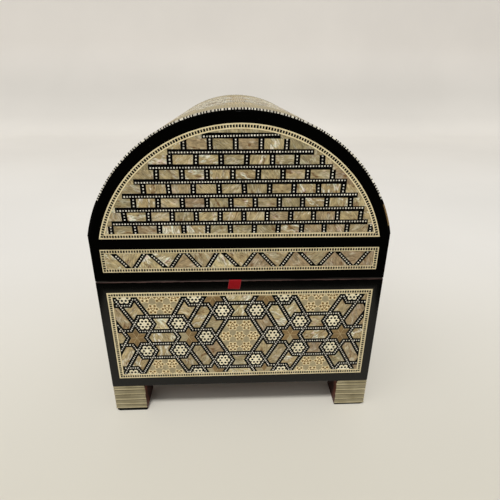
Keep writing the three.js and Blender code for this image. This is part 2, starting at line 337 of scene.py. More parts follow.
def add_sweep():
    bpy.ops.mesh.primitive_plane_add(size=2 * FLOOR_HALF)
    sweep = bpy.context.object
    sweep.name = "sweep"
    editing(sweep, "DESELECT")
    bpy.ops.mesh.select_mode(type="EDGE")
    done()
    for edge in sweep.data.edges:
        ends = [sweep.data.vertices[i].co.y for i in edge.vertices]
        edge.select = min(ends) > FLOOR_HALF - FLOOR_TOUCH
    bpy.ops.object.mode_set(mode="EDIT")
    bpy.ops.mesh.extrude_region_move(TRANSFORM_OT_translate={"value": (0, 0, FLOOR_RISE)})
    done()
    for edge in sweep.data.edges:
        ends = [sweep.data.vertices[i].co for i in edge.vertices]
        edge.select = all(e.y > FLOOR_HALF - FLOOR_TOUCH and e.z < FLOOR_TOUCH for e in ends)
    bpy.ops.object.mode_set(mode="EDIT")
    bpy.ops.mesh.bevel(offset=FLOOR_BEND, segments=24, affect="EDGES")
    done()
    for vertex in sweep.data.vertices:
        vertex.co.x *= FLOOR_WIDER
    bpy.ops.object.shade_smooth()
    sweep.data.materials.append(paper())


def add_card(name, middle, along, height):
    """A dark card that stands upright and shows in reflections only."""
    bpy.ops.mesh.primitive_plane_add(size=1)
    card = bpy.context.object
    card.name = name
    for vertex in card.data.vertices:
        x, y = vertex.co.x, vertex.co.y + 0.5
        vertex.co = Vector(middle) + Vector(along) * x * CARD_LENGTH + Vector((0, 0, y * height))
    f = Finish(name)
    card.data.materials.append(f.set(base_color=colour(6, 6, 6), roughness=1, specular_ior_level=0))
    card.visible_camera = False
    card.visible_diffuse = False
    card.visible_shadow = False
    card.visible_transmission = False


def add_lamp(name, kind, energy):
    data = bpy.data.lights.new(name, kind)
    data.energy = energy
    data.color = LAMP_WHITE
    lamp = bpy.data.objects.new(name, data)
    bpy.context.scene.collection.objects.link(lamp)
    return lamp


def add_light():
    world = bpy.data.worlds.new("room")
    bpy.context.scene.world = world
    world.use_nodes = True
    sky = world.node_tree.nodes["Background"]
    sky.inputs["Color"].default_value = (*LAMP_WHITE, 1)
    sky.inputs["Strength"].default_value = SKY
    above = add_lamp("ceiling", "SUN", CEILING)
    above.data.angle = CEILING_WIDTH
    above.rotation_euler = Vector(CEILING_WAY).to_track_quat("-Z", "Y").to_euler()
    window = add_lamp("window", "AREA", WINDOW)
    window.data.size = WINDOW_WIDTH
    window.location = WINDOW_PLACE
    window.rotation_euler = (WINDOW_AIM - window.location).to_track_quat("-Z", "Y").to_euler()


def add_cards():
    half_width, half_depth, _ = (cad_high - cad_low) / 2
    add_card("dark_card_front", (0, -half_depth - FRONT_CARD_AWAY, 0), (1, 0, 0), CARD_HEIGHT)
    add_card("dark_card_back", (0, half_depth + CARD_AWAY, 0), (1, 0, 0), CARD_LOW)
    add_card("dark_card_left", (-half_width - CARD_AWAY, 0, 0), (0, 1, 0), CARD_LOW)
    add_card("dark_card_right", (half_width + CARD_AWAY, 0, 0), (0, 1, 0), CARD_LOW)


add_sweep()
add_cards()
add_light()
bpy.context.scene.view_settings.view_transform = "Standard"
print("stage set")


# %% [markdown]
# ## Finishes of the inlay
#
# Each tile carries two numbers: its own shade, and the direction of its grain. Mother of pearl is
# streaky, and each piece gets a painted highlight in another tint, so the pattern is turned and
# shifted by those numbers. Bone is calm and creamy, and the black ground between the tiles is nearly
# even.

# %% Inlay finishes
SHIFT = 60


def turned_bench(f):
    """Bench places, turned to the tile's grain and shifted by its shade."""
    turned = f.node("ShaderNodeVectorRotate", {"rotation_type": "Z_AXIS"}, {
        "Vector": f.bench(),
        "Angle": f.face_value("grain"),
    })[0]
    shift = f.node("ShaderNodeCombineXYZ", None, {2: f.face_value("shade") * SHIFT})[0]
    return f.node("ShaderNodeVectorMath", {"operation": "ADD"}, {0: turned, 1: shift})[0]


def pearl():
    """Beige or cream, blotched and finely lined, with painted highlights in pale tints and a few brown
    clouds.
    """
    f = Finish("mother_of_pearl")
    where = turned_bench(f)
    shade = f.face_value("shade")
    ground = f.ramp(shade, [
        (0.00, colour(150, 130, 102)),
        (0.20, colour(168, 149, 114)),
        (0.40, colour(156, 144, 109)),
        (0.60, colour(184, 166, 126)),
        (0.80, colour(166, 147, 108)),
        (1.00, colour(198, 184, 141)),
    ])
    blotches = f.noise(f.stretch(where, 0.6, 1, 1), 0.5, 2, 0.6, 0.9).step(0.34, 0.66)
    lines = f.noise(f.stretch(where, 0.26, 1.5, 1), 0.9, 2, 0.6, 1.6).step(0.34, 0.66)
    level = blotches * 0.4 + lines * 0.48 + 0.54
    # Painted highlight: pale glints in tints, on patches of the fine lines, stronger on a share of the
    # tiles.
    glint_tints = f.noise(where, 0.3, 1, 0.5, 0.6)
    painted_glint = f.ramp(glint_tints, [
        (0.30, colour(240, 216, 214)),
        (0.42, colour(250, 243, 222)),
        (0.52, colour(220, 231, 210)),
        (0.60, colour(255, 250, 234)),
        (0.74, colour(224, 225, 224)),
    ])
    glint_strength = shade.step(0.6, 0.7) * 0.65 + 0.35
    patches = f.noise(f.stretch(where, 0.5, 1, 1), 0.3, 2, 0.6, 1.0)
    painted_glint_mask = patches.step(0.5, 0.6) * (lines * 0.95 + 0.05) * glint_strength
    brown = f.noise(f.stretch(where, 0.5, 1, 1), 0.34, 3, 0.6, 0.8).step(0.57, 0.66) * 0.8
    worked = f.mix(brown, f.tint(ground, level), colour(112, 78, 44))
    f.set(
        base_color=f.mix(painted_glint_mask, worked, painted_glint),
        roughness=0.34 + blotches * 0.1,
        specular_ior_level=0.16,
        normal=f.bump(lines, 0.00006),
    )
    return f.material


def pearl_ground():
    """The quieter pearl under the small stars."""
    f = Finish("grey_pearl")
    where = turned_bench(f)
    streaks = f.noise(f.stretch(where, 0.3, 0.9, 1), 0.9, 3, 0.5, 0.6)
    f.set(
        base_color=f.ramp(streaks, [(0.3, colour(148, 136, 107)), (0.7, colour(178, 165, 131))]),
        roughness=0.4,
        specular_ior_level=0.16,
    )
    return f.material


def shade_level(f, dimmest, brightest):
    """How bright a tile is beside its neighbours."""
    limits = {"Value": f.face_value("shade"), "To Min": dimmest, "To Max": brightest}
    return f.node("ShaderNodeMapRange", None, limits)[0]


def bone(name, light, dark, dimmest=0.88):
    """Bone or pale wood: finely grained, a little dirty in places."""
    f = Finish(name)
    where = turned_bench(f)
    grain = f.noise(f.stretch(where, 0.25, 1.6, 1), 1.0, 3, 0.6)
    dirt = f.noise(f.bench(), 0.09, 2)
    clean = f.mix(grain.step(0.3, 0.75), light, dark)
    used = f.mix(dirt.step(0.5, 0.8) * 0.35, clean, colour(176, 152, 104))
    f.set(
        base_color=f.tint(used, shade_level(f, dimmest, 1.05)),
        roughness=0.36 + grain * 0.12,
        specular_ior_level=0.18,
    )
    return f.material


def black_wood():
    f = Finish("black_wood")
    pores = f.noise(f.stretch(f.bench(), 2.2, 0.5, 1), 1.2, 3, 0.6)
    f.set(
        base_color=f.mix(pores.step(0.5, 0.85), colour(5, 5, 4), colour(20, 17, 14)),
        roughness=0.34 + pores * 0.2,
        specular_ior_level=0.08,
    )
    return f.material


def brown_wood(name, light, dark):
    """Short-grained wood in small pieces, with the grain along each piece."""
    f = Finish(name)
    where = turned_bench(f)
    grain = f.noise(f.stretch(where, 0.12, 1.9, 1), 1.6, 4, 0.6, 0.3)
    f.set(
        base_color=f.tint(f.mix(grain.step(0.3, 0.72), light, dark), shade_level(f, 0.82, 1.12)),
        roughness=0.36 + grain * 0.12,
        specular_ior_level=0.25,
    )
    return f.material


INLAY = {
    "ground": black_wood(),
    "pearl": pearl(),
    "grey_pearl": pearl_ground(),
    "bone": bone("bone", colour(236, 223, 184), colour(216, 200, 156)),
    "petal": bone("petal_bone", colour(246, 240, 214), colour(228, 216, 178)),
    "square": bone("bone_squares", colour(255, 252, 240), colour(232, 226, 206), 0.6),
    "star": brown_wood("walnut", colour(150, 124, 82), colour(112, 88, 54)),
    "joint": bone("pale_joint", colour(206, 190, 150), colour(186, 166, 122)),
    "citron": bone("citron_wood", colour(242, 226, 182), colour(226, 206, 158)),
    "amber": brown_wood("amber_wood", colour(128, 94, 36), colour(94, 66, 18)),
    "slat": bone("slat_wood", colour(166, 150, 103), colour(147, 131, 85)),
}
print(len(INLAY), "inlay finishes")


# %% [markdown]
# ## Tiles on the bench
#
# A panel is made flat on the bench, in millimetres, with its middle at the origin, and is stood up
# against its wall when it is whole. A flat point is one complex number, because turning a shape is
# then one multiplication. Tiles are drawn as flat faces, and one inset raises them all with a small
# sloped edge, as hand-rubbed inlay has.

# %% Flat shapes
Tile = namedtuple("Tile", "points finish layer grain")


def turn(degrees):
    return cmath.rect(1, math.radians(degrees))


def ring(radius, count, start=0):
    return [radius * turn(start + 360 * k / count) for k in range(count)]


def inside_by(a, b, point):
    """How far a point lies to the left of the line from a to b."""
    along = (b - a) / abs(b - a)
    return (along.conjugate() * (point - a)).imag


def shrunk(points, distance):
    """The shape with every edge moved in by a distance."""
    made = []
    for before, here, after in zip(points[-1:] + points[:-1], points, points[1:] + points[:1]):
        first = (here - before) / abs(here - before) * 1j
        second = (after - here) / abs(after - here) * 1j
        lean = 1 + (first.conjugate() * second).real
        made.append(here + (first + second) * (distance / lean))
    return made


NARROWEST = 0.02


def clipped(points, window):
    """The part of a shape inside a window whose corners all bulge outwards."""
    for a, b in zip(window, window[1:] + window[:1]):
        kept = []
        for here, after in zip(points, points[1:] + points[:1]):
            near = inside_by(a, b, here)
            far = inside_by(a, b, after)
            if near >= 0:
                kept.append(here)
            if near * far < 0:
                kept.append(here + (after - here) * (near / (near - far)))
        points = kept
        if len(points) < 3:
            return []
    return [p for p, q in zip(points, points[1:] + points[:1]) if abs(p - q) > NARROWEST]


def area(points):
    return sum((a.conjugate() * b).imag for a, b in zip(points, points[1:] + points[:1])) / 2


def facing_up(points):
    """The same outline, anticlockwise."""
    return points if area(points) > 0 else points[::-1]


def upright_box(left, right, low, high):
    return [complex(left, low), complex(right, low), complex(right, high), complex(left, high)]


SMALLEST = 0.12


class Board:
    """A flat panel in the making: its window, its tiles and its chance draws."""

    def __init__(self, window, seed):
        self.window = window
        self.draw = random.Random(seed)
        self.tiles = []

    def lay(self, points, finish, layer=0, grain=None):
        shape = clipped(points, self.window)
        if len(shape) > 2 and area(shape) > SMALLEST:
            along = self.draw.uniform(0, math.pi) if grain is None else grain
            self.tiles.append(Tile(shape, finish, layer, along))

    def lay_whole(self, points, finish):
        """Lays a small piece only where all of it fits."""
        sides = list(zip(self.window, self.window[1:] + self.window[:1]))
        if all(inside_by(a, b, p) > 0 for p in points for a, b in sides):
            self.tiles.append(Tile(points, finish, 0, 0.0))


SQUARE = 0.72
SQUARE_PITCH = 1.44
CORNERS = (-1 - 1j, 1 - 1j, 1 + 1j, -1 + 1j)


def dotted(board, start, end):
    """Small squares in a row from one point to another."""
    along = (end - start) / abs(end - start)
    count = max(1, round(abs(end - start) / SQUARE_PITCH))
    for k in range(count):
        middle = start + (end - start) * (k + 0.5) / count
        half = SQUARE / 2 * along * board.draw.uniform(0.86, 1.08)
        board.lay_whole([middle + half * corner for corner in CORNERS], "square")


# %% [markdown]
# The inset works on every tile at once. The faces that it makes keep the numbers of the tile they
# came from, so a tile's slope has its tile's colour. A second map of places spreads each piece over
# one whole picture, so that its finished colours can go into one image. Sides and backs have no place
# on the bench of their own, so they share a narrow strip under that picture.

# %% From tiles to a raised panel
INLAY_DEPTH = 1.2
RELIEF = 0.07
SLOPE = 0.05
OVERLAY = 0.02
OVERLAY_SLOPE = 0.03
BELOW_FACE = 0.002
EDGE_SHARE = 0.03
HIDDEN_SLOPE = 0.2
HIDDEN_SIZE = 0.45
HIDDEN_SHARE = 0.8


def flat_mesh(name, tiles, heights, draw):
    """Tiles as flat faces, each on its own points, with their finishes and numbers."""
    points = []
    faces = []
    for tile in tiles:
        faces.append(list(range(len(points), len(points) + len(tile.points))))
        points += [(p.real, p.imag, heights[tile.layer]) for p in tile.points]
    mesh = bpy.data.meshes.new(name)
    mesh.from_pydata(points, [], faces)
    for finish in INLAY.values():
        mesh.materials.append(finish)
    order = list(INLAY)
    mesh.polygons.foreach_set("material_index", [order.index(t.finish) for t in tiles])
    for label, values in (
        ("shade", [draw.random() for _ in tiles]),
        ("grain", [t.grain for t in tiles]),
    ):
        mesh.attributes.new(label, "FLOAT", "FACE").data.foreach_set("value", values)
    made = bpy.data.objects.new(name, mesh)
    bpy.context.scene.collection.objects.link(made)
    return made


def raised(piece, thickness, depth):
    """Lifts every face by itself, with a sloped edge of its own."""
    editing(piece)
    bpy.ops.mesh.inset(thickness=thickness, depth=depth, use_boundary=True, use_even_offset=True)
    done()


def slab(name, outlines, depth):
    """The ground under the tiles: one outline, or the band between two, with its thickness."""
    outer = outlines[0]
    points = [(p.real, p.imag, -RELIEF) for loop in outlines for p in loop]
    count = len(outer)
    if len(outlines) == 1:
        faces = [list(range(count))]
    else:
        faces = [[k, (k + 1) % count, count + (k + 1) % count, count + k] for k in range(count)]
    mesh = bpy.data.meshes.new(name)
    mesh.from_pydata(points, [], faces)
    for finish in INLAY.values():
        mesh.materials.append(finish)
    for label in ("shade", "grain"):
        mesh.attributes.new(label, "FLOAT", "FACE")
    made = bpy.data.objects.new(name, mesh)
    bpy.context.scene.collection.objects.link(made)
    editing(made)
    bpy.ops.mesh.extrude_region_move(TRANSFORM_OT_translate={"value": (0, 0, -(depth - RELIEF))})
    bpy.ops.mesh.select_all(action="SELECT")
    bpy.ops.mesh.normals_make_consistent(inside=False)
    done()
    return made


def joined(name, parts):
    only(parts[0])
    for part in parts:
        part.select_set(True)
    bpy.ops.object.join()
    made = bpy.context.object
    made.name = made.data.name = name
    return made


def map_panel(piece):
    """Two maps: places on the bench, and the picture that the finished colours go into."""
    mesh = piece.data
    spots = np.empty(len(mesh.vertices) * 3)
    mesh.vertices.foreach_get("co", spots)
    spots = spots.reshape(-1, 3)
    corner = np.empty(len(mesh.loops), int)
    mesh.loops.foreach_get("vertex_index", corner)
    flat = spots[corner, :2]
    mesh.uv_layers.new(name="bench").data.foreach_set("uv", flat.ravel())
    low, high = spots[:, :2].min(0), spots[:, :2].max(0)
    share = (flat - low) / (high - low)
    picture = share * (1 - 2 * EDGE_SHARE) + EDGE_SHARE
    hidden = [face for face in mesh.polygons if face.normal.z < HIDDEN_SLOPE]
    cell = 1 / max(1, len(hidden))
    for place, face in enumerate(hidden):
        for k, loop in enumerate(face.loop_indices):
            spot = 0.5 + HIDDEN_SIZE * turn(360 * k / face.loop_total)
            up = (spot.imag + 0.5) * EDGE_SHARE * HIDDEN_SHARE
            picture[loop] = ((place + spot.real) * cell, up)
    mesh.uv_layers.new(name="OFBake").data.foreach_set("uv", picture.ravel())


def panel(name, board, outlines, depth=INLAY_DEPTH):
    """A whole flat panel: the ground, and the tiles of each layer raised on it."""
    heights = [-RELIEF, -BELOW_FACE, OVERLAY - BELOW_FACE]
    parts = [slab(name + "_ground", outlines, depth)]
    for layer, (slope, rise) in enumerate((
        (SLOPE, RELIEF),
        (OVERLAY_SLOPE, OVERLAY),
        (OVERLAY_SLOPE, OVERLAY),
    )):
        tiles = [t for t in board.tiles if t.layer == layer]
        if tiles:
            part = flat_mesh(f"{name}_{layer}", tiles, heights, board.draw)
            raised(part, slope, rise)
            parts.append(part)
    made = joined(name, parts)
    map_panel(made)
    return made


# %% [markdown]
# ## Standing a panel up
#
# Every wall has the same plan seen from outside: along it to the right, up, and outwards. The three
# directions make a matrix, and the flat panel's mesh goes through it, so the finished object stays
# at the origin and its place is in its mesh.

# %% Walls
TURN = {"front": 0, "right": 90, "back": 180, "left": 270}


def wall_matrix(side, node):
    """From the bench to a wall: the bench's middle goes to the middle of the node's outer face."""
    low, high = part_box(node)
    middle = (low + high) / 2
    spin = math.radians(TURN[side])
    along = Vector((math.cos(spin), math.sin(spin), 0))
    outwards = Vector((math.sin(spin), -math.cos(spin), 0))
    reach = abs(outwards.dot(high - low)) / 2
    turned = Matrix((along, Vector((0, 0, 1)), outwards)).transposed().to_4x4()
    return Matrix.Translation(middle + outwards * reach) @ turned @ Matrix.Scale(MM, 4)


def node_size(side, node):
    """The width and height of a node on its wall, in millimetres."""
    low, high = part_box(node)
    size = (high - low) / MM
    return (size.x if side in ("front", "back") else size.y), size.z


def rectangle(width, height):
    half = complex(width, height) / 2
    return [-half, half.conjugate(), half, -half.conjugate()]


def let_in(board, outlines, body, node, name, side):
    """Makes a whole panel, stands it in its wall and hands it over in place of the node."""
    made = panel(name, board, outlines)
    made.data.transform(wall_matrix(side, node))
    made.data.update()
    mounted(made, body, node.rsplit("_", 1)[1], node)
    print(name, len(board.tiles), "tiles")


# %% [markdown]
# ## The strapwork of the base
#
# The long panels of the base carry an old star-and-hexagon net. Its straps run round five shapes:
# large hexagons, flower hexagons at their corners, bow ties between two of those, long hexagons
# between two large ones, and stars with six points. All sizes follow from three: the spacing of the
# large hexagons, their corner radius and that of the flower hexagons. One cell is drawn, and the net
# repeats it until the panel is full. The real net is a little taller than a regular one, so heights
# are stretched.

# %% The net
SPACING = 52.2
LARGE = 14.0
FLOWER = 5.6
STRAP = 3.05
TALL = 1.034
FLOWER_AWAY = LARGE + FLOWER
LONG_NEAR = math.sqrt(3) / 2 * (FLOWER_AWAY + FLOWER)
LONG_HALF_HEIGHT = SPACING / 2 - LONG_NEAR
LONG_HALF_EDGE = (FLOWER_AWAY - FLOWER) / 2
LONG_END = LONG_HALF_EDGE + LONG_HALF_HEIGHT * math.tan(math.radians(30))
STAR_AWAY = SPACING / math.sqrt(3)
LONG_TO_STAR = math.sqrt(STAR_AWAY**2 - (SPACING / 2) ** 2)


def taller(point):
    return complex(point.real, point.imag * TALL)


def long_hexagon():
    x, y = LONG_HALF_EDGE, LONG_HALF_HEIGHT
    return [LONG_END, complex(x, y), complex(-x, y), -LONG_END, complex(-x, -y), complex(x, -y)]


def bow_tie():
    """The piece between a large hexagon's lower edge, two flower hexagons and a long hexagon."""
    top = -math.sqrt(3) / 2 * LARGE
    waist = -math.sqrt(3) / 2 * FLOWER_AWAY
    x = LONG_HALF_EDGE
    narrow = FLOWER_AWAY / 2 - FLOWER
    return [
        complex(-x, -LONG_NEAR),
        complex(x, -LONG_NEAR),
        complex(narrow, waist),
        complex(x, top),
        complex(-x, top),
        complex(-narrow, waist),
    ]


def star():
    """A star with a large hexagon to its left: its inner corners lie at two distances."""
    to_flower = STAR_AWAY - FLOWER_AWAY - FLOWER
    to_long = LONG_TO_STAR - LONG_END
    tip = (FLOWER_AWAY - STAR_AWAY) + FLOWER * turn(60)
    points = []
    for k in range(3):
        points += [p * turn(120 * k) for p in (
            -to_flower,
            tip.conjugate(),
            to_long * turn(240),
            tip * turn(120),
        )]
    return points


print("long hexagon", round(2 * LONG_END, 1), "by", round(2 * LONG_HALF_HEIGHT, 1), "mm")

# %% [markdown]
# The flower is a lobed disc of bone with six black dots. Its outline is one formula, with a lobe in
# each sixth of a turn. The small stars in the large hexagons are sawn from a glued rod of citron
# wood and dark wood: a star, six diamonds in its points and a triangle of thin lines in its middle.

# %% Flowers and small stars
PETAL_IN = 2.5
PETAL_OUT = 3.95
LOBE_FULLNESS = 0.6
FLOWER_CLEAR = 4
DOT_AWAY = 2.1
DOT_RADIUS = 0.74
HEART_RADIUS = 0.95
SMALL_STAR = 4.05
SMALL_STAR_IN = 2.7
SMALL_STAR_PITCH = 8.1
SMALL_STAR_ROW = 7.3
DIAMOND_FROM = 1.5
DIAMOND_TO = 3.25
DIAMOND_HALF = 0.9
TRIANGLE = 1.95
TRIANGLE_INSIDE = 0.95
STAR_CLEAR = 0.1


def flower(board, middle):
    """A flower, or plain pearl where the panel's side cuts the flower in half."""
    side = max(p.real for p in board.window) - abs(middle.real)
    if side < FLOWER_CLEAR:
        board.lay([middle + p for p in ring(FLOWER - STRAP / 2, 6)], "pearl")
        return
    outline = []
    for k in range(36):
        lobe = abs(math.cos(math.radians(30 * k))) ** LOBE_FULLNESS
        outline.append(middle + (PETAL_IN + (PETAL_OUT - PETAL_IN) * lobe) * turn(10 * k))
    board.lay(outline, "petal", grain=0.0)
    board.lay([middle + p for p in ring(HEART_RADIUS, 6)], "petal", 1, 0.0)
    for dot in ring(DOT_AWAY, 6):
        board.lay([middle + dot + p for p in ring(DOT_RADIUS, 8, 22.5)], "ground", 1, 0.0)


def small_star(board, middle, window, upright):
    """A small star, cut off at the strap that it runs into."""
    outline = []
    for k in range(6):
        outline += [SMALL_STAR * turn(60 * k), SMALL_STAR_IN * turn(60 * k + 30)]
    pieces = [(outline, "citron", 1)]
    for k in range(6):
        half_way = (DIAMOND_FROM + DIAMOND_TO) / 2
        diamond = [
            DIAMOND_FROM,
            complex(half_way, -DIAMOND_HALF),
            DIAMOND_TO,
            complex(half_way, DIAMOND_HALF),
        ]
        pieces.append(([p * turn(60 * k) for p in diamond], "amber", 2))
    corners = ring(TRIANGLE, 3, upright)
    inner_corners = ring(TRIANGLE_INSIDE, 3, upright)
    for k in range(3):
        after = (k + 1) % 3
        bar = [corners[k], corners[after], inner_corners[after], inner_corners[k]]
        pieces.append((bar, "amber", 2))
    for shape, finish, layer in pieces:
        part = clipped([middle + p for p in shape], window)
        if len(part) > 2:
            board.lay(part, finish, layer, cmath.phase(shape[0]))


def large_hexagon(board, middle):
    """Quiet pearl with seven small stars on it."""
    outline = [taller(p) for p in ring(LARGE, 6)]
    visible = [middle + p for p in shrunk(outline, STRAP / 2)]
    board.lay(visible, "grey_pearl")
    spots = [(0, 0, -90)]
    spots += [(SMALL_STAR_PITCH * s, 0, 90) for s in (-1, 1)]
    spots += [
        (SMALL_STAR_PITCH / 2 * s, SMALL_STAR_ROW * TALL * t, 90 * t)
        for s in (-1, 1)
        for t in (-1, 1)
    ]
    for x, y, upright in spots:
        small_star(board, middle + complex(x, y), shrunk(visible, STAR_CLEAR), upright)


# %% [markdown]
# Now the cell itself. Each shape is laid a strap's half width inside its line, so that the black
# ground shows between the tiles as the strap, and the rows of squares run along the lines.

# %% Laying the net
ODD_KITES = 0.08
KITE_INSET = 0.09


def lay_star(board, centre, middle, k):
    """A pale star with six brown kites on it, or plain pearl where its heart is off the panel."""
    outline = [middle + p * turn(60 * k) for p in star()]
    outline = shrunk([taller(p) for p in outline], STRAP / 2)
    heart = taller(middle)
    if abs((centre + heart).real) > max(p.real for p in board.window):
        board.lay([centre + p for p in outline], "pearl")
        return
    board.lay([centre + p for p in outline], "joint", 0, 0.0)
    for tip in range(0, 12, 2):
        kite = [heart, outline[tip], outline[tip + 1], outline[(tip + 2) % 12]]
        finish = "grey_pearl" if board.draw.random() < ODD_KITES else "star"
        along = -cmath.phase(outline[tip + 1] - heart)
        board.lay([centre + p for p in shrunk(kite, KITE_INSET)], finish, 1, along)


def strapwork(board, centre):
    reach = max(abs(p - centre) for p in board.window)
    cells = int(reach / SPACING) + 2
    corners_done = set()

    def pearl_piece(points):
        stretched = shrunk([taller(p) for p in points], STRAP / 2)
        board.lay([centre + p for p in stretched], "pearl")

    def squares(points):
        """Squares along an outline, with a single one where several outlines share a corner."""
        stretched = [centre + taller(p) for p in points]
        for a, b in zip(stretched, stretched[1:] + stretched[:1]):
            step = (b - a) / max(1, round(abs(b - a) / SQUARE_PITCH))
            dotted(board, a + step / 2, b - step / 2)
            corner = (round(a.real), round(a.imag))
            if corner not in corners_done:
                corners_done.add(corner)
                dotted(board, a - step / 2, a + step / 2)

    def lay_cell(cell):
        large_hexagon(board, centre + taller(cell))
        squares([cell + p for p in ring(LARGE, 6)])
        for k in range(6):
            bud = cell + FLOWER_AWAY * turn(60 * k)
            flower(board, centre + taller(bud))
            squares([bud + p for p in ring(FLOWER, 6)])
            pearl_piece([cell + p * turn(60 * k) for p in bow_tie()])
        for k in range(3):
            middle = cell + SPACING / 2 * turn(30 + 60 * k)
            outline = [middle + p * turn(120 + 60 * k) for p in long_hexagon()]
            pearl_piece(outline)
            squares(outline)
        for k in range(2):
            lay_star(board, centre, cell + STAR_AWAY * turn(60 * k), k)

    for i in range(-cells, cells + 1):
        for j in range(-cells, cells + 1):
            lay_cell(SPACING * complex(i * math.cos(math.radians(30)), i / 2 + j))


# %% [markdown]
# ## The base panels
#
# The front net's middle was measured in the picture: it lies a little left of the panel's middle.
# The other three sides aren't in the picture, and carry the same net, each from its own middle.

# %% Base panels
NET_SHIFT = {"front": -1.2 - 0.35j, "right": 0.95j, "back": 1.4 + 0.95j, "left": 0.95j}
FIELD_GAP = 0.06


def add_base_field(side, seed):
    node = f"base_{side}_marquetry"
    outline = rectangle(*node_size(side, node))
    board = Board(shrunk(outline, FIELD_GAP), seed)
    strapwork(board, NET_SHIFT[side])
    let_in(board, [outline], "base", node, f"base_{side}_inlay", side)


for seed, side in enumerate(TURN):
    add_base_field(side, seed)


# %% [markdown]
# ## Stringing
#
# Round each field runs a border of bone with a row of short black bars down its middle. It is three
# strips side by side, mitred at the corners. The two outer strips are plain, and the bars are laid
# on the middle one, with a bar on each corner, as a maker starts a border.

# %% Rectangular borders
BORDER_PITCH = 1.42
BORDER_BAR = (1.0, 1.42)
MIDDLE_SHARE = 0.34
LANE_GAP = 0.03


def lane_between(board, outer, inner):
    """Four mitred strips between two rectangles."""
    for k in range(4):
        after = (k + 1) % 4
        strip = [outer[k], outer[after], inner[after], inner[k]]
        grain = -cmath.phase(outer[after] - outer[k])
        board.lay(shrunk(strip, LANE_GAP / 2), "bone", 0, grain)


def border_bar(board, spot, along):
    """One black bar of a border, a little longer across the border than along it."""
    half = along * board.draw.uniform(0.9, 1.05) / 2
    bar_corners = [complex(p.real * BORDER_BAR[0], p.imag * BORDER_BAR[1]) for p in CORNERS]
    board.lay([spot + half * corner for corner in bar_corners], "ground", 1, 0.0)


def lane_lines(border):
    """How far the lines between a border's three strips lie from its outer line."""
    lane = border * (1 - MIDDLE_SHARE) / 2
    return 0, lane, border - lane, border


def add_border(side, part, body, seed):
    node = f"{part}_stringing"
    size = node_size(side, node)
    border = (size[0] - node_size(side, f"{part}_marquetry")[0]) / 2
    outer = rectangle(*size)
    board = Board(outer, seed)
    loops = [shrunk(outer, distance) for distance in lane_lines(border)]
    for near, far in zip(loops, loops[1:]):
        lane_between(board, near, far)
    middle = shrunk(outer, border / 2)
    for a, b in zip(middle, middle[1:] + middle[:1]):
        count = round(abs(b - a) / BORDER_PITCH)
        along = (b - a) / abs(b - a)
        for k in range(count):
            border_bar(board, a + (b - a) * k / count, along)
    let_in(board, [outer, loops[-1]], body, node, f"{part}_border", side)


for seed, side in enumerate(TURN):
    add_border(side, f"base_{side}", "base", seed)
    add_border(side, f"lid_{side}_band", "lid", 10 + seed)


# %% [markdown]
# ## The band of the lid
#
# Below the half-round panel runs a narrow band of pearl, cut by black dotted strips that zigzag in
# open Vs. A strip is given by the places of its upper and its lower end. The pearl between two strips
# is a trapezium or a triangle, so the band is a walk from left to right over the strips. On the front
# they were laid unevenly, and their places are measured ones.

# %% Zigzag bands
ZIGZAG_PITCH = 19.8
STROKE = 2.55
STROKE_RUN = 6.9
STROKE_GAP = 3.0
FRONT_STROKES = (
    (-68.2, -60.9), (-51.7, -57.8), (-49.4, -40.9), (-32.4, -38.2), (-29.5, -22.6),
    (-13.1, -18.4), (-9.8, -1.6), (7.4, 1.3), (10.0, 17.9), (27.3, 21.7),
    (31.5, 39.9), (49.3, 42.5), (52.2, 60.6), (69.4, 63.2),
)


def even_strokes(width):
    """The upper and lower ends of evenly laid strips, in Vs."""
    count = int(width / ZIGZAG_PITCH)
    strokes = []
    for k in range(count):
        middle = ZIGZAG_PITCH * (k - (count - 1) / 2)
        for sign in (-1, 1):
            foot = middle + sign * STROKE_GAP / 2
            strokes.append((foot + sign * STROKE_RUN, foot))
    return strokes


def zigzag(board, width, height, strokes):
    """Strips and the pearl between them, which ends in a point where two strips meet."""
    half_height = height / 2
    half = STROKE / 2 * math.hypot(STROKE_RUN, height) / height
    for top, bottom in strokes:
        dotted(board, complex(top, half_height), complex(bottom, -half_height))
    edges = [(-width, -width), *strokes, (width, width)]
    for (top_a, bottom_a), (top_b, bottom_b) in zip(edges, edges[1:]):
        low_a, low_b = bottom_a + half, bottom_b - half
        high_a, high_b = top_a + half, top_b - half
        low = [complex(low_a, -half_height), complex(low_b, -half_height)]
        high = [complex(high_b, half_height), complex(high_a, half_height)]
        open_low, open_high = low_b - low_a, high_b - high_a
        if open_low < 0 or open_high < 0:
            share = open_low / (open_low - open_high)
            meet = low[0] + (high[1] - low[0]) * share
            low, high = ([meet], high) if open_low < 0 else (low, [meet])
        board.lay(low + high, "pearl")


def add_band(side, seed):
    node = f"lid_{side}_band_marquetry"
    width, height = node_size(side, node)
    outline = rectangle(width, height)
    board = Board(shrunk(outline, FIELD_GAP), seed)
    zigzag(board, width, height, FRONT_STROKES if side == "front" else even_strokes(width))
    let_in(board, [outline], "lid", node, f"lid_{side}_band_inlay", side)


for seed, side in enumerate(TURN):
    add_band(side, 20 + seed)


# %% [markdown]
# ## The half-round panels
#
# The ends of the lid show a wall of small pearl bricks between black dotted strips. The level strips
# lie at even heights, and the upright ones shift by about half a brick from row to row, each row at
# its own measured pitch and start. A strip stops short of the border, and a bit of pearl closes the
# row. The arch follows from the panel's width and height.

# %% Arches
ARCH_STEPS = 72


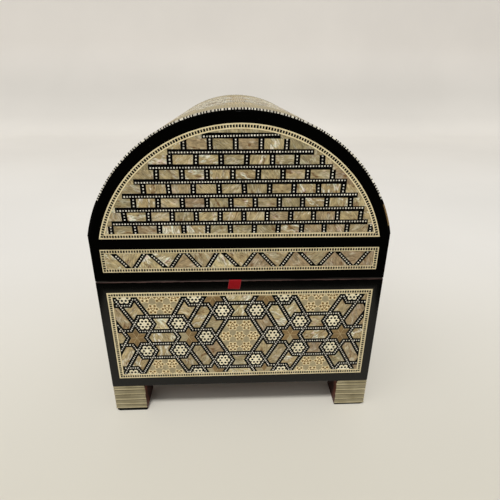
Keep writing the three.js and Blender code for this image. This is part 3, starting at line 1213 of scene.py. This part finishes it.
class Arch:
    """A circle's segment on a straight foot, with its foot's middle at x = 0."""

    def __init__(self, half_width, bottom, top):
        rise = top - bottom
        self.radius = (half_width**2 + rise**2) / (2 * rise)
        self.centre = top - self.radius
        self.bottom = bottom

    def inner(self, distance):
        """The arch's outline moved in by a distance, from its right foot round to its left one."""
        radius = self.radius - distance
        foot = self.bottom + distance
        reach = math.acos((foot - self.centre) / radius)
        angles = [reach * (1 - 2 * k / ARCH_STEPS) for k in range(ARCH_STEPS + 1)]
        return [complex(radius * math.sin(a), self.centre + radius * math.cos(a)) for a in angles]

    def half_width_at(self, height):
        return math.sqrt(max(0, self.radius**2 - (height - self.centre) ** 2))


def arch_of(side, node):
    width, height = node_size(side, node)
    return Arch(width / 2, -height / 2, height / 2)


# %% Brick fields
ROW_PITCH = 7.25
FIRST_ROW = 5.75
TOP_ROW_HIGHER = 0.45
BRICK_PITCH = 12.5
LEVEL_STRIP = 2.8
UPRIGHT_STRIP = 3.0
UPRIGHT_CLEAR = 1.2
UPRIGHT_OVERLAP = 0.2
UPRIGHT_WANDER = 0.25
STRIP_SHORT = 1.7
STRIP_TILT = 0.45
SQUARES_SHORT = 0.4
STUB = 30
STUB_GAP = 0.02
TOP_CLEAR = 1.5
BRICK_ROWS = (
    (12.35, 6.8), (12.23, 1.3), (12.32, 7.05), (12.6, 1.4), (12.5, 8.15), (12.5, 2.6), (12.45, 9.75),
)


def brick_row(board, arch, low, high, row):
    """Pearl bricks between upright strips that lean a little, as hand-laid ones do."""
    pitch, offset = BRICK_ROWS[min(row, len(BRICK_ROWS) - 1)]
    reach = arch.half_width_at(high) + BRICK_PITCH
    first = math.ceil((-reach - offset) / pitch)
    last = math.floor((reach - offset) / pitch)
    edges = []
    for k in range(first, last + 1):
        foot = k * pitch + offset + board.draw.uniform(-UPRIGHT_WANDER, UPRIGHT_WANDER)
        head = foot + board.draw.uniform(-UPRIGHT_WANDER, UPRIGHT_WANDER)
        if max(abs(foot), abs(head)) < arch.half_width_at((low + high) / 2) - UPRIGHT_CLEAR:
            edges.append((foot, head))
    half = UPRIGHT_STRIP / 2
    walls = [(-reach, -reach)] + edges + [(reach, reach)]
    for (foot_a, head_a), (foot_b, head_b) in zip(walls, walls[1:]):
        board.lay([
            complex(foot_a + half, low),
            complex(foot_b - half, low),
            complex(head_b - half, high),
            complex(head_a + half, high),
        ], "pearl")
    for foot, head in edges:
        dotted(board, complex(foot, low - UPRIGHT_OVERLAP), complex(head, high + UPRIGHT_OVERLAP))


def level_strip(board, arch, height):
    """A row of squares that leans a little, and the pearl that closes it at both ends."""
    tilt = STRIP_TILT * board.draw.uniform(0.4, 1.2)
    reach = arch.half_width_at(height) - STRIP_SHORT * board.draw.uniform(0.6, 1.8)
    squares = reach - SQUARES_SHORT
    dotted(board, complex(-squares, height - tilt), complex(squares, height + tilt))
    half = LEVEL_STRIP / 2 - STUB_GAP
    for left, right in ((-reach - STUB, -reach), (reach, reach + STUB)):
        board.lay(upright_box(left, right, height - half, height + half), "pearl")


def bricks(board, arch):
    half = LEVEL_STRIP / 2
    top = arch.centre + arch.radius
    heights = []
    height = arch.bottom + FIRST_ROW
    while height < top - TOP_CLEAR:
        heights.append(height)
        height += ROW_PITCH
    heights[-1] += TOP_ROW_HIGHER
    brick_row(board, arch, arch.bottom, heights[0] - half, 0)
    for k, height in enumerate(heights):
        level_strip(board, arch, height)
        if k + 1 < len(heights):
            brick_row(board, arch, height + half, heights[k + 1] - half, k + 1)
    board.lay(upright_box(-arch.radius, arch.radius, heights[-1] + half, top + 1), "pearl")


def add_lunette(side, seed):
    node = f"lunette_{side}_marquetry"
    arch = arch_of(side, node)
    board = Board(arch.inner(FIELD_GAP), seed)
    bricks(board, arch)
    let_in(board, [arch.inner(0)], "lid", node, f"lunette_{side}_inlay", side)


# %% Borders of the arches
def bar_spots(arch, border):
    """The bars' middles round the arch and along its foot, each with the direction it follows."""
    middle = arch.inner(border / 2)
    bend = arch.radius - border / 2
    centre = complex(0, arch.centre)
    start = cmath.phase(middle[0] - centre)
    sweep = cmath.phase(middle[-1] - centre) % (2 * math.pi) - start
    count = round(bend * sweep / BORDER_PITCH)
    spots = []
    for k in range(count + 1):
        angle = start + sweep * k / count
        spots.append((centre + cmath.rect(bend, angle), cmath.rect(1, angle) * 1j))
    count = round(abs(middle[0] - middle[-1]) / BORDER_PITCH)
    for k in range(1, count):
        spots.append((middle[-1] + (middle[0] - middle[-1]) * k / count, 1))
    return spots


def add_lunette_border(side, seed):
    node = f"lunette_{side}_stringing"
    arch = arch_of(side, node)
    border = (node_size(side, node)[1] - node_size(side, f"lunette_{side}_marquetry")[1]) / 2
    board = Board(arch.inner(0), seed)
    loops = [arch.inner(distance) for distance in lane_lines(border)]
    for near, far in zip(loops, loops[1:]):
        for strip in (near + far[::-1], [near[-1], near[0], far[0], far[-1]]):
            board.tiles.append(Tile(shrunk(strip, LANE_GAP / 2), "bone", 0, 0.0))
    for spot, along in bar_spots(arch, border):
        border_bar(board, spot, along)
    let_in(board, [loops[0], loops[-1]], "lid", node, f"lunette_{side}_border", side)


for seed, side in ((30, "front"), (31, "back")):
    add_lunette(side, seed)
    add_lunette_border(side, seed + 5)

# %% [markdown]
# ## The marquetry over the vault
#
# One sheet covers the vault from side to side. It is made flat like the other panels, with its
# arc's length as its width. Level slats of wood and pearl lie behind its front and back edges, then
# a line of bone, and between the two lines the same net is laid. Then the sheet is cut across every
# few millimetres, so that it can bend, and each point goes round the vault's axis by its distance
# from the crown line. Its two maps are made before the bend, so the patterns follow the surface.

# %% The vault
VAULT_CUT = 4.0
SLAT_PAIR = 1.43
SLAT_ZONE = 32
SLATS_AFTER_NET = 1.75
BONE_LINE = (0.15, 1.6)
VAULT_LOW, VAULT_HIGH = (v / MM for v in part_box("vault_stringing"))
VAULT = Arch(VAULT_HIGH.x, VAULT_LOW.z, VAULT_HIGH.z)
VAULT_HALF_DEPTH = VAULT_HIGH.y
FIELD_LOW, FIELD_HIGH = (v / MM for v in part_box("vault_marquetry"))
FIELD_HALF_DEPTH = FIELD_HIGH.y


def half_arc(foot):
    """How far round the vault it is from the crown line down to the height of a foot."""
    return VAULT.radius * math.acos((foot - VAULT.centre) / VAULT.radius)


VAULT_HALF_ARC = half_arc(VAULT.bottom)
FIELD_HALF_ARC = half_arc(FIELD_LOW.z)


def bent(piece):
    """Bends a flat sheet over the vault, in metres."""
    editing(piece)
    for k in range(int(VAULT_HALF_ARC / VAULT_CUT) + 1):
        for sign in (-1, 1):
            bpy.ops.mesh.select_all(action="SELECT")
            across = (sign * (k + 0.5) * VAULT_CUT, 0, 0)
            bpy.ops.mesh.bisect(plane_co=across, plane_no=(1, 0, 0))
    done()
    mesh = piece.data
    flat = np.empty(len(mesh.vertices) * 3)
    mesh.vertices.foreach_get("co", flat)
    x, y, z = flat.reshape(-1, 3).T
    away = VAULT.radius + z
    around = x / VAULT.radius
    spots = np.stack([away * np.sin(around), y, VAULT.centre + away * np.cos(around)], 1)
    mesh.vertices.foreach_set("co", (spots * MM).ravel())
    mesh.update()
    return piece


def lay_slats(board, net_half_depth):
    """At both ends a line of bone, and slats of wood and pearl from there to the edge."""
    pairs = round(2 * FIELD_HALF_ARC / SLAT_PAIR)
    for sign in (-1, 1):
        near, far = (sign * (net_half_depth + away) for away in BONE_LINE)
        line = upright_box(-FIELD_HALF_ARC, FIELD_HALF_ARC, near, far)
        board.lay(facing_up(line), "bone", 0, 0.0)
        near, far = sign * (net_half_depth + SLATS_AFTER_NET), sign * FIELD_HALF_DEPTH
        for k in range(2 * pairs):
            left = -FIELD_HALF_ARC + k * FIELD_HALF_ARC / pairs
            slat = upright_box(left, left + FIELD_HALF_ARC / pairs, near, far)
            board.lay(facing_up(slat), ("slat", "grey_pearl")[k % 2], 0, math.pi / 2)


def add_vault_field():
    window = rectangle(2 * FIELD_HALF_ARC, 2 * FIELD_HALF_DEPTH)
    board = Board(shrunk(window, FIELD_GAP), 40)
    net_half_depth = FIELD_HALF_DEPTH - SLAT_ZONE
    net = Board(rectangle(2 * FIELD_HALF_ARC - 2 * FIELD_GAP, 2 * net_half_depth), 42)
    strapwork(net, 0)
    board.tiles += net.tiles
    lay_slats(board, net_half_depth)
    made = bent(panel("vault_inlay", board, [window]))
    mounted(made, "lid", "marquetry", "vault_marquetry")
    print(made.name, len(board.tiles), "tiles,", len(made.data.polygons), "faces")


add_vault_field()

# %% [markdown]
# The sheet's edge is a ladder of short bars, bone and black in turn and of uneven widths. Seen from
# the front their ends stand along the arch like teeth. A bar is one flat tile with its whole
# thickness, so it is drawn out of the sheet's black edge and raised like a tile. The black bars stand
# a little higher. Near the foot of the arch all bars are black, and at the right brown wood shows.

# %% The toothed edge
TOOTH = 0.78
TOOTH_WIDTHS = (0.8, 0.95, 1.1, 1.5, 2.2)
TOOTH_GAP = 0.68
TOOTH_HEIGHT = 0.68
TOOTH_PROUD = 0.12
TOOTH_SLOPE = 0.05
TOOTH_CROWN = 0.06
BAR_SHORT = 0.05
BAR_APART = 0.03
LAST_BAR = 0.3
BLACK_HIGHER = 0.09
GROUND_LOWER = 0.08
LADDER_END = 90
CORNER_BLACK = 6
WORN_ARC = (93, 105)


def bar(spot, along, length, width):
    """A bar's outline, with its outer end at the spot, and along pointing inwards."""
    side = along * 1j * width / 2
    return [spot + side, spot - side, spot - side + along * length, spot + side + along * length][::-1]


def edge_bars(board, start, end, length, ladder_end):
    """Bars along one edge: white and black in turn, and all black beyond the ladder's end."""
    along = (end - start) / abs(end - start)
    middle = (start + end) / 2
    done_to = 0
    white = True
    while done_to < abs(end - start) - LAST_BAR:
        wide = TOOTH * board.draw.choice(TOOTH_WIDTHS) if white else TOOTH_GAP
        wide *= board.draw.uniform(0.85, 1.15)
        wide = min(wide, abs(end - start) - done_to)
        spot = start + along * (done_to + wide / 2)
        away = ((spot - middle) * along.conjugate()).real
        finish = "square" if white and abs(away) < ladder_end else "ground"
        if start.imag == end.imag < 0 and WORN_ARC[0] < away < WORN_ARC[1]:
            finish = "star"
        uneven = board.draw.uniform(0, TOOTH_PROUD)
        inwards = along * 1j
        points = bar(spot + inwards * uneven, inwards, length - uneven - BAR_SHORT, wide - BAR_APART)
        board.tiles.append(Tile(facing_up(points), finish, 0, cmath.phase(inwards)))
        done_to += wide
        white = not white


def raised_bars(name, tiles, top, draw):
    bars = flat_mesh(name, tiles, [-TOOTH_HEIGHT], draw)
    editing(bars)
    lift = (0, 0, TOOTH_HEIGHT - TOOTH_CROWN + top)
    bpy.ops.mesh.extrude_region_move(TRANSFORM_OT_translate={"value": lift})
    bpy.ops.mesh.inset(
        thickness=TOOTH_SLOPE, depth=TOOTH_CROWN, use_boundary=True, use_even_offset=True)
    done()
    return bars


def add_teeth():
    outer = rectangle(2 * VAULT_HALF_ARC, 2 * VAULT_HALF_DEPTH)
    inner = rectangle(2 * FIELD_HALF_ARC, 2 * FIELD_HALF_DEPTH)
    board = Board(outer, 41)
    for k in range(4):
        start, end = outer[k], outer[(k + 1) % 4]
        ladder_end = LADDER_END if k % 2 == 0 else VAULT_HALF_DEPTH - CORNER_BLACK
        edge_bars(board, start, end, abs(inside_by(start, end, inner[k])), ladder_end)
    ground = slab("vault_edge_ground", [shrunk(outer, TOOTH_PROUD), inner], INLAY_DEPTH)
    ground.data.transform(Matrix.Translation((0, 0, -GROUND_LOWER)))
    parts = [ground]
    for name, is_white, top in (("white_bars", True, 0), ("black_bars", False, BLACK_HIGHER)):
        tiles = [t for t in board.tiles if (t.finish == "square") == is_white]
        parts.append(raised_bars(name, tiles, top, board.draw))
    made = joined("vault_edge", parts)
    map_panel(made)
    mounted(bent(made), "lid", "stringing", "vault_stringing")
    print(made.name, len(board.tiles), "bars")


add_teeth()


# %% [markdown]
# ## Lacquered boards
#
# The boards arrive with knife-sharp edges, and real lacquer rounds them. A copy of each board is
# merged into one skin, its outer edges are picked by their place, and a small bevel rounds them.
# The rounded edge catches the light as a fine line, which shows the seam of the lid. Smooth shading
# would tilt the light on the broad faces too, so their normals are weighted by area. The back boards
# keep their edges, which are planed to the slope where an open lid would stop. Black lacquer is thin
# on the rim of the base, and brown wood shows through there. The lid's lower edge carries a painted
# highlight line.

# %% Lacquer
EDGE_ROUND = 0.0004
RIM_WEAR = 0.0006
RIM_RAGGED = 0.0012
HIGHLIGHT_EDGE = 0.0003
FADE = 0.0003


def lacquer(name, gloss, rim=None, highlight_below=None):
    """Glossy black. Brown wood shows above the height of the rim, and a painted highlight below the
    highlight height.
    """
    f = Finish(name)
    where = f.place()
    dust = f.noise(where, 900, 2, 0.5)
    haze = f.noise(where, 14, 3, 0.5)
    scratches = f.noise(f.stretch(where, 60, 60, 900), 1, 2, 0.6, 0.4)
    black = f.mix(dust.step(0.7, 0.8) * 0.25, colour(4, 4, 3), colour(44, 42, 38))
    black = f.mix(scratches.step(0.72, 0.82) * 0.2, black, colour(30, 28, 26))
    rough = 0.11 + haze * 0.12
    if rim is not None:
        ragged = f.noise(f.stretch(where, 260, 260, 900), 1, 3, 0.6)
        worn = (f.axis(where, 2) + (ragged - 0.5) * RIM_RAGGED).step(rim, rim + FADE)
        grain = f.noise(f.stretch(where, 90, 90, 900), 1, 3, 0.6)
        wood = f.mix(grain.step(0.3, 0.7), colour(84, 60, 52), colour(44, 27, 22))
        black = f.mix(worn, black, wood)
        rough = rough + worn * 0.35
    # Painted highlight: a broken pale grey line along the lower edge of the lid.
    if highlight_below is not None:
        highlight_breaks = f.noise(f.stretch(where, 40, 40, 300), 1, 3, 0.6).step(0.35, 0.6)
        edge = 1 - f.axis(where, 2).step(highlight_below, highlight_below + FADE)
        black = f.mix(edge * highlight_breaks * 0.8, black, colour(74, 72, 68))
    f.set(
        base_color=black,
        roughness=rough,
        specular_ior_level=gloss,
        normal=f.bump(haze, 0.0004, 0.5),
    )
    return f.material


# %% Boards
def merged_copy(name, node, finish):
    """A copy of a frame node as one clean skin, under its own name."""
    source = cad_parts[node]
    piece = bpy.data.objects.new(name, source.data.copy())
    piece.data.materials.clear()
    piece.data.materials.append(finish)
    bpy.context.scene.collection.objects.link(piece)
    editing(piece)
    bpy.ops.mesh.remove_doubles(threshold=1e-6)
    bpy.ops.mesh.dissolve_limited(angle_limit=math.radians(0.5))
    done()
    return piece


def rounded(piece, chosen, width):
    """Bevels the edges whose two ends are both chosen, and keeps the broad faces' shading flat."""
    editing(piece, "DESELECT")
    bpy.ops.mesh.select_mode(type="EDGE")
    done()
    spots = [chosen(v.co) for v in piece.data.vertices]
    for edge in piece.data.edges:
        edge.select = all(spots[i] for i in edge.vertices)
    bpy.ops.object.mode_set(mode="EDIT")
    bpy.ops.mesh.bevel(offset=width, segments=3, affect="EDGES", clamp_overlap=True)
    done()
    only(piece)
    bpy.ops.object.shade_smooth_by_angle(angle=math.radians(40))
    weighted = piece.modifiers.new("weighted", "WEIGHTED_NORMAL")
    weighted.keep_sharp = True
    bpy.ops.object.modifier_apply(modifier="weighted")
    return piece


NEAR_EDGE = 0.3
NEAR_FACE = 0.02


def outer_rim(side, node):
    """Tells whether a point is on the outer face's outline or on the board's top or bottom."""
    place = wall_matrix(side, node).inverted()
    width, height = node_size(side, node)

    def chosen(point):
        x, y, z = place @ point
        at_end = abs(x) > width / 2 - NEAR_EDGE
        at_height = abs(y) > height / 2 - NEAR_EDGE
        return at_height or (at_end and z > -NEAR_FACE)

    return chosen


BASE_LACQUER = lacquer("black_lacquer_base", 0.3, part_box("base_front_board")[1].z - RIM_WEAR)
LID_LACQUER = lacquer("black_lacquer_lid", 0.1, highlight_below=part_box("lid_front_board")[0].z + HIGHLIGHT_EDGE)


def add_board(side, node, body, finish):
    piece = merged_copy(node + "_lacquered", node, finish)
    if side != "back":
        rounded(piece, outer_rim(side, node), EDGE_ROUND)
    mounted(piece, body, "black_lacquer", node)


for side in TURN:
    add_board(side, f"base_{side}_board", "base", BASE_LACQUER)
for node, side in (
    ("lid_front_board", "front"),
    ("lid_back_board", "back"),
    ("lid_right_rail", "right"),
    ("lid_left_rail", "left"),
):
    add_board(side, node, "lid", LID_LACQUER)
print("eight boards")


# %% [markdown]
# ## The feet
#
# Each foot is two glued blocks. The outer one is clad with thin level strips in grey gold, and its
# lower edge is black. A strip is an L in plan that goes round the outer corner. The lowest part of
# each strip is a proud rib, painted lighter as a highlight line, and a dark groove is left under it.
# The block's inner side is bare wood.
# The strips stop at dark lines, whose heights were measured on both front feet.

# %% Wood and cladding
def plain_wood(name, light, dark, axis):
    """Wood with its grain along one axis of the chest, given by three scales."""
    f = Finish(name)
    where = f.place()
    grain = f.noise(f.stretch(where, *axis), 1, 4, 0.62, 0.35)
    broad = f.noise(f.stretch(where, *(a * 0.25 for a in axis)), 1, 2, 0.5, 0.5)
    f.set(
        base_color=f.mix((grain * 0.7 + broad * 0.3).step(0.32, 0.66), light, dark),
        roughness=0.5 + grain * 0.2,
        normal=f.bump(grain, 0.0001),
    )
    return f.material


def cladding(name, lift):
    f = Finish(name)
    where = f.place()
    lines = f.noise(f.stretch(where, 30, 30, 1500), 1, 3, 0.6, 0.1)
    patches = f.noise(where, 120, 3, 0.5)
    shade = f.ramp(lines * 0.65 + patches * 0.35, [
        (0.34, colour(116, 106, 78)),
        (0.46, colour(142, 132, 102)),
        (0.56, colour(158, 148, 118)),
        (0.68, colour(184, 174, 144)),
    ])
    f.set(
        base_color=f.tint(shade, lift),
        roughness=0.38 + patches * 0.12,
        specular_ior_level=0.3,
        normal=f.bump(lines, 0.00012),
    )
    return f.material


FOOT_GRAIN = (500, 90, 60)
BOARD_GRAIN = (18, 500, 500)
FOOT_WOOD = plain_wood("red_brown_foot_wood", colour(122, 64, 44), colour(62, 31, 21), FOOT_GRAIN)
# The blocks behind the clad ones get the foot wood painted darker: painted shade where they sit back
# under the chest.
SHADED_RETURN_WOOD = plain_wood("foot_wood_painted_shade", colour(78, 38, 30), colour(38, 18, 14), FOOT_GRAIN)
BOTTOM_WOOD = plain_wood("bottom_wood", colour(128, 88, 58), colour(84, 54, 34), BOARD_GRAIN)
CLADDING = cladding("grey_gold_cladding", 0.86)
# The ribs' cladding is painted brighter than the strips: a painted highlight line at each strip's foot.
CLADDING_HIGHLIGHT = cladding("grey_gold_ribs_highlight", 1.35)
BLACK_EDGE = lacquer("black_foot_edge", 0.1)

# %% Feet
DARK_LINES = {
    "left": (20, 19, 17, 13.2, 9, 5.3, 2.3),
    "right": (20, 18.5, 16.3, 12.2, 8.6, 4.8, 1.5),
}
CLAD = 0.55
CLAD_SEAT = 0.05
FOOT_CORNER = 2.5
GROOVE = 0.5
RIB = 0.85
RIB_PROUD = 0.16
RIB_ABOVE_LINE = 0.04
TORN = 0.35
TOP_TORN = 0.5
STRIP_BEVEL = 0.12


def clad_strip(name, plan, low, high, finish):
    """One level strip with an L for its plan, which goes round the foot's outer corner."""
    strip = slab(name, [plan], high - low + RELIEF)
    strip.data.transform(Matrix.Translation((0, 0, high + RELIEF)))
    editing(strip)
    bpy.ops.mesh.select_mode(type="EDGE")
    bpy.ops.mesh.bevel(offset=STRIP_BEVEL, segments=2, affect="EDGES")
    done()
    strip.data.materials.clear()
    strip.data.materials.append(finish)
    return strip


def foot_plan(low, high, out, front, back_in, inner_short):
    """The L: along the front, round the outer corner and along the outer side. out is -1 or 1."""
    outer = (high.x if out > 0 else low.x) - out * back_in
    inner = (low.x if out > 0 else high.x) + out * inner_short
    face = (low.y if front < 0 else high.y) - front * back_in
    rear = high.y if front < 0 else low.y
    inner_x = outer - out * (CLAD - back_in)
    inner_y = face - front * (CLAD - back_in)
    return facing_up([
        complex(inner, face),
        complex(outer, face),
        complex(outer, rear),
        complex(inner_x, rear),
        complex(inner_x, inner_y),
        complex(inner, inner_y),
    ])


def foot_core(node, low, high, out, front):
    """The block, cut back under its cladding: bare wood on its inner side and black elsewhere."""
    core = merged_copy(node + "_block", node, FOOT_WOOD)
    core.data.transform(Matrix.Scale(1 / MM, 4))
    core.data.materials.append(BLACK_EDGE)
    outer_x = high.x if out > 0 else low.x
    face_y = high.y if front > 0 else low.y
    for vertex in core.data.vertices:
        if abs(vertex.co.y - face_y) < 0.1:
            vertex.co.y -= front * (CLAD - CLAD_SEAT)
        if abs(vertex.co.x - outer_x) < FOOT_CORNER:
            vertex.co.x -= out * (CLAD - CLAD_SEAT)
    for face in core.data.polygons:
        face.material_index = int(face.normal.x * out > -0.5)
    return core


def add_foot(end, side, seed):
    node = f"foot_{end}_{side}_face"
    low, high = (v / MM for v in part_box(node))
    out = 1 if side == "right" else -1
    front = 1 if end == "back" else -1
    draw = random.Random(seed)
    parts = [foot_core(node, low, high, out, front)]
    lines = DARK_LINES[side]
    for n, (top, bottom) in enumerate(zip(lines, lines[1:])):
        torn = draw.uniform(0.0, TORN) + (TOP_TORN if n == 0 else 0)
        gap = 0.0 if n == 0 else GROOVE
        split = bottom + min(RIB, (top - bottom) * 0.5)
        body = foot_plan(low, high, out, front, RIB_PROUD, torn)
        rib = foot_plan(low, high, out, front, 0.0, torn * 0.5)
        parts.append(clad_strip(f"strip_{n}", body, split, top - gap, CLADDING))
        parts.append(clad_strip(f"rib_{n}", rib, bottom + RIB_ABOVE_LINE, split, CLADDING_HIGHLIGHT))
    made = joined(f"foot_{end}_{side}_clad", parts)
    made.data.transform(Matrix.Scale(MM, 4))
    only(made)
    bpy.ops.object.shade_smooth_by_angle(angle=math.radians(28))
    mounted(made, "base", "foot_cladding", node)


FEET = [(end, side) for end in ("front", "back") for side in ("left", "right")]
for seed, (end, side) in enumerate(FEET, 51):
    add_foot(end, side, seed)
print(len(FEET), "clad feet")


# %% [markdown]
# ## Velvet linings
#
# Inside, card covered with red velvet lines the floor, the walls and the vault. Each lining is a
# copy of its plain solid with its free edges rounded over. The pile is a fine uneven bump, and its
# sheen gives velvet its pale edge.

# %% Linings
def velvet():
    f = Finish("red_velvet")
    where = f.place()
    pile = f.noise(where, 2600, 2, 0.6)
    brushed = f.noise(where, 26, 3, 0.55, 0.8)
    shade = f.mix(brushed.step(0.3, 0.72), colour(104, 12, 24), colour(142, 24, 38))
    f.set(
        base_color=f.mix(pile.step(0.4, 0.7) * 0.4, shade, colour(70, 6, 14)),
        roughness=0.92,
        sheen_weight=0.2,
        sheen_roughness=0.4,
        specular_ior_level=0.2,
        normal=f.bump(pile, 0.0003),
    )
    return f.material


VELVET = velvet()
PILE_ROUND = 0.00035
LININGS = {
    "base_floor_lining": "base",
    "base_wall_lining": "base",
    "lid_front_lining": "lid",
    "lid_back_lining": "lid",
    "lid_vault_lining": "lid",
}


def add_lining(node, body):
    piece = merged_copy(node.replace("lining", "velvet"), node, VELVET)
    rounded(piece, lambda point: True, PILE_ROUND)
    mounted(piece, body, "velvet", node)


for node, body in LININGS.items():
    add_lining(node, body)
print(len(LININGS), "linings")


# %% [markdown]
# ## The pull ribbon
#
# A short end of red ribbon, glued under the lid, sticks out of the seam and hangs over the front. A
# ribbon is a flat strip that is folded once, so a strip of faces is pushed along its path, given its
# thickness and smoothed. It hangs a little askew, and its woven edges are paler.

# %% Ribbon
RIBBON_DROP = 5.3
RIBBON_THICK = 0.28
RIBBON_SKEW = -0.9
RIBBON_ASIDE = 0.5
RIBBON_CURL = 0.1
RIBBON_SLANT = 0.4


def ribbon_silk(low, high, foot):
    """Red silk, paler at its two woven edges and at its cut end."""
    f = Finish("ribbon_silk")
    where = f.place()
    weave = f.noise(f.stretch(where, 1400, 1400, 5200), 1, 2, 0.6)
    askew = (f.axis(where, 2) - high.z) * (-RIBBON_SKEW / RIBBON_DROP)
    cross = f.axis(where, 0) - askew - RIBBON_ASIDE * MM
    left = 1 - cross.step(low.x + 0.0001, low.x + 0.0005)
    right = cross.step(high.x - 0.0005, high.x - 0.0001)
    base = 1 - f.axis(where, 2).step(foot + 0.0001, foot + 0.0005)
    pale = left * 0.5 + right * 0.4 + base * 0.4
    red = f.mix(weave.step(0.35, 0.7), colour(150, 10, 22), colour(126, 5, 15))
    f.set(
        base_color=f.mix(pale.sum("MINIMUM", 0.7), red, colour(150, 84, 90)),
        roughness=0.55,
        specular_ior_level=0.12,
        normal=f.bump(weave, 0.00012),
    )
    return f.material


def ribbon_path(back, face, seam, foot):
    """The ribbon from the side: level in the seam, round the edge and down, as points (y, z)."""
    return [
        (back, seam + 0.00035),
        (face + 0.0008, seam + 0.00035),
        (face - 0.0001, seam + 0.0002),
        (face - 0.00045, seam - 0.0003),
        (face - 0.0005, seam - 0.0012),
        (face - 0.00055, (seam + foot) / 2),
        (face - 0.00045, foot),
    ]


def drawn_along(ribbon, path, middle, width):
    """Lays the plane on the path's first stretch and pushes its free edge along the others."""
    editing(ribbon, "DESELECT")
    bpy.ops.mesh.select_mode(type="EDGE")
    done()
    for vertex in ribbon.data.vertices:
        y, z = path[0] if vertex.co.y > 0 else path[1]
        vertex.co = Vector((middle + vertex.co.x * width, y, z))
    for here, after in zip(path[1:], path[2:]):
        for edge in ribbon.data.edges:
            spots = [ribbon.data.vertices[i].co for i in edge.vertices]
            edge.select = all(abs(s.y - here[0]) + abs(s.z - here[1]) < 1e-6 for s in spots)
        bpy.ops.object.mode_set(mode="EDIT")
        move = (0, after[0] - here[0], after[1] - here[1])
        bpy.ops.mesh.extrude_edges_move(TRANSFORM_OT_translate={"value": move})
        done()


def hung_askew(ribbon, seam, middle, width):
    """Lets the hanging end drift to one side, with a slight curl and a slanting cut."""
    for vertex in ribbon.data.vertices:
        hang = max(0, seam - vertex.co.z) / (RIBBON_DROP * MM)
        vertex.co.x += RIBBON_SKEW * MM * hang
        vertex.co.y -= RIBBON_CURL * MM * hang * math.sin((vertex.co.x - middle) / width * 5)
        vertex.co.z -= RIBBON_SLANT * MM * hang * (vertex.co.x - middle) / width


def add_ribbon():
    low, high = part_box("pull_ribbon")
    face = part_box("base_front_board")[0].y
    seam = (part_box("base_front_board")[1].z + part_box("lid_front_board")[0].z) / 2
    foot = seam - RIBBON_DROP * MM
    width = high.x - low.x
    middle = (low.x + high.x) / 2 + RIBBON_ASIDE * MM
    bpy.ops.mesh.primitive_plane_add(size=1)
    ribbon = bpy.context.object
    ribbon.name = "pull_ribbon_silk"
    drawn_along(ribbon, ribbon_path(high.y, face, seam, foot), middle, width)
    editing(ribbon)
    bpy.ops.mesh.subdivide(number_cuts=3)
    done()
    hung_askew(ribbon, seam, middle, width)
    thick = ribbon.modifiers.new("thickness", "SOLIDIFY")
    thick.thickness = RIBBON_THICK * MM
    thick.offset = 0
    smooth = ribbon.modifiers.new("smooth", "SUBSURF")
    smooth.levels = smooth.render_levels = 1
    only(ribbon)
    for modifier in ("thickness", "smooth"):
        bpy.ops.object.modifier_apply(modifier=modifier)
    bpy.ops.object.shade_smooth()
    ribbon.data.materials.append(ribbon_silk(low, high, foot))
    mounted(ribbon, "lid", "ribbon_silk", "pull_ribbon")
    print("ribbon", round(width / MM, 1), "mm wide")


add_ribbon()


# %% [markdown]
# ## Brass and the rest
#
# The hinges, screws, bottom board and vault board keep their own shapes. They get finishes in their
# slots: brass that has dulled a little, and plain wood.

# %% Brass
def brass():
    f = Finish("dull_brass")
    where = f.place()
    dull = f.noise(where, 300, 3, 0.55)
    brushed = f.noise(f.stretch(where, 200, 3000, 3000), 1, 2, 0.6)
    f.set(
        base_color=f.mix(dull.step(0.35, 0.7), colour(206, 168, 92), colour(142, 108, 56)),
        metallic=1.0,
        roughness=0.22 + dull * 0.22,
        normal=f.bump(brushed, 0.00004),
    )
    return f.material


# The foot blocks behind the clad ones take the foot wood with painted shade.
KEPT = {"hinge": brass(), "foot": SHADED_RETURN_WOOD, "base_bottom": BOTTOM_WOOD, "vault_panel": BOTTOM_WOOD}
for name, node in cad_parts.items():
    for start, finish in KEPT.items():
        if name.startswith(start) and not node.hide_render:
            node.data.materials.clear()
            node.data.materials.append(finish)
left = [n for n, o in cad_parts.items() if not o.hide_render]
print("kept nodes:", len(left))
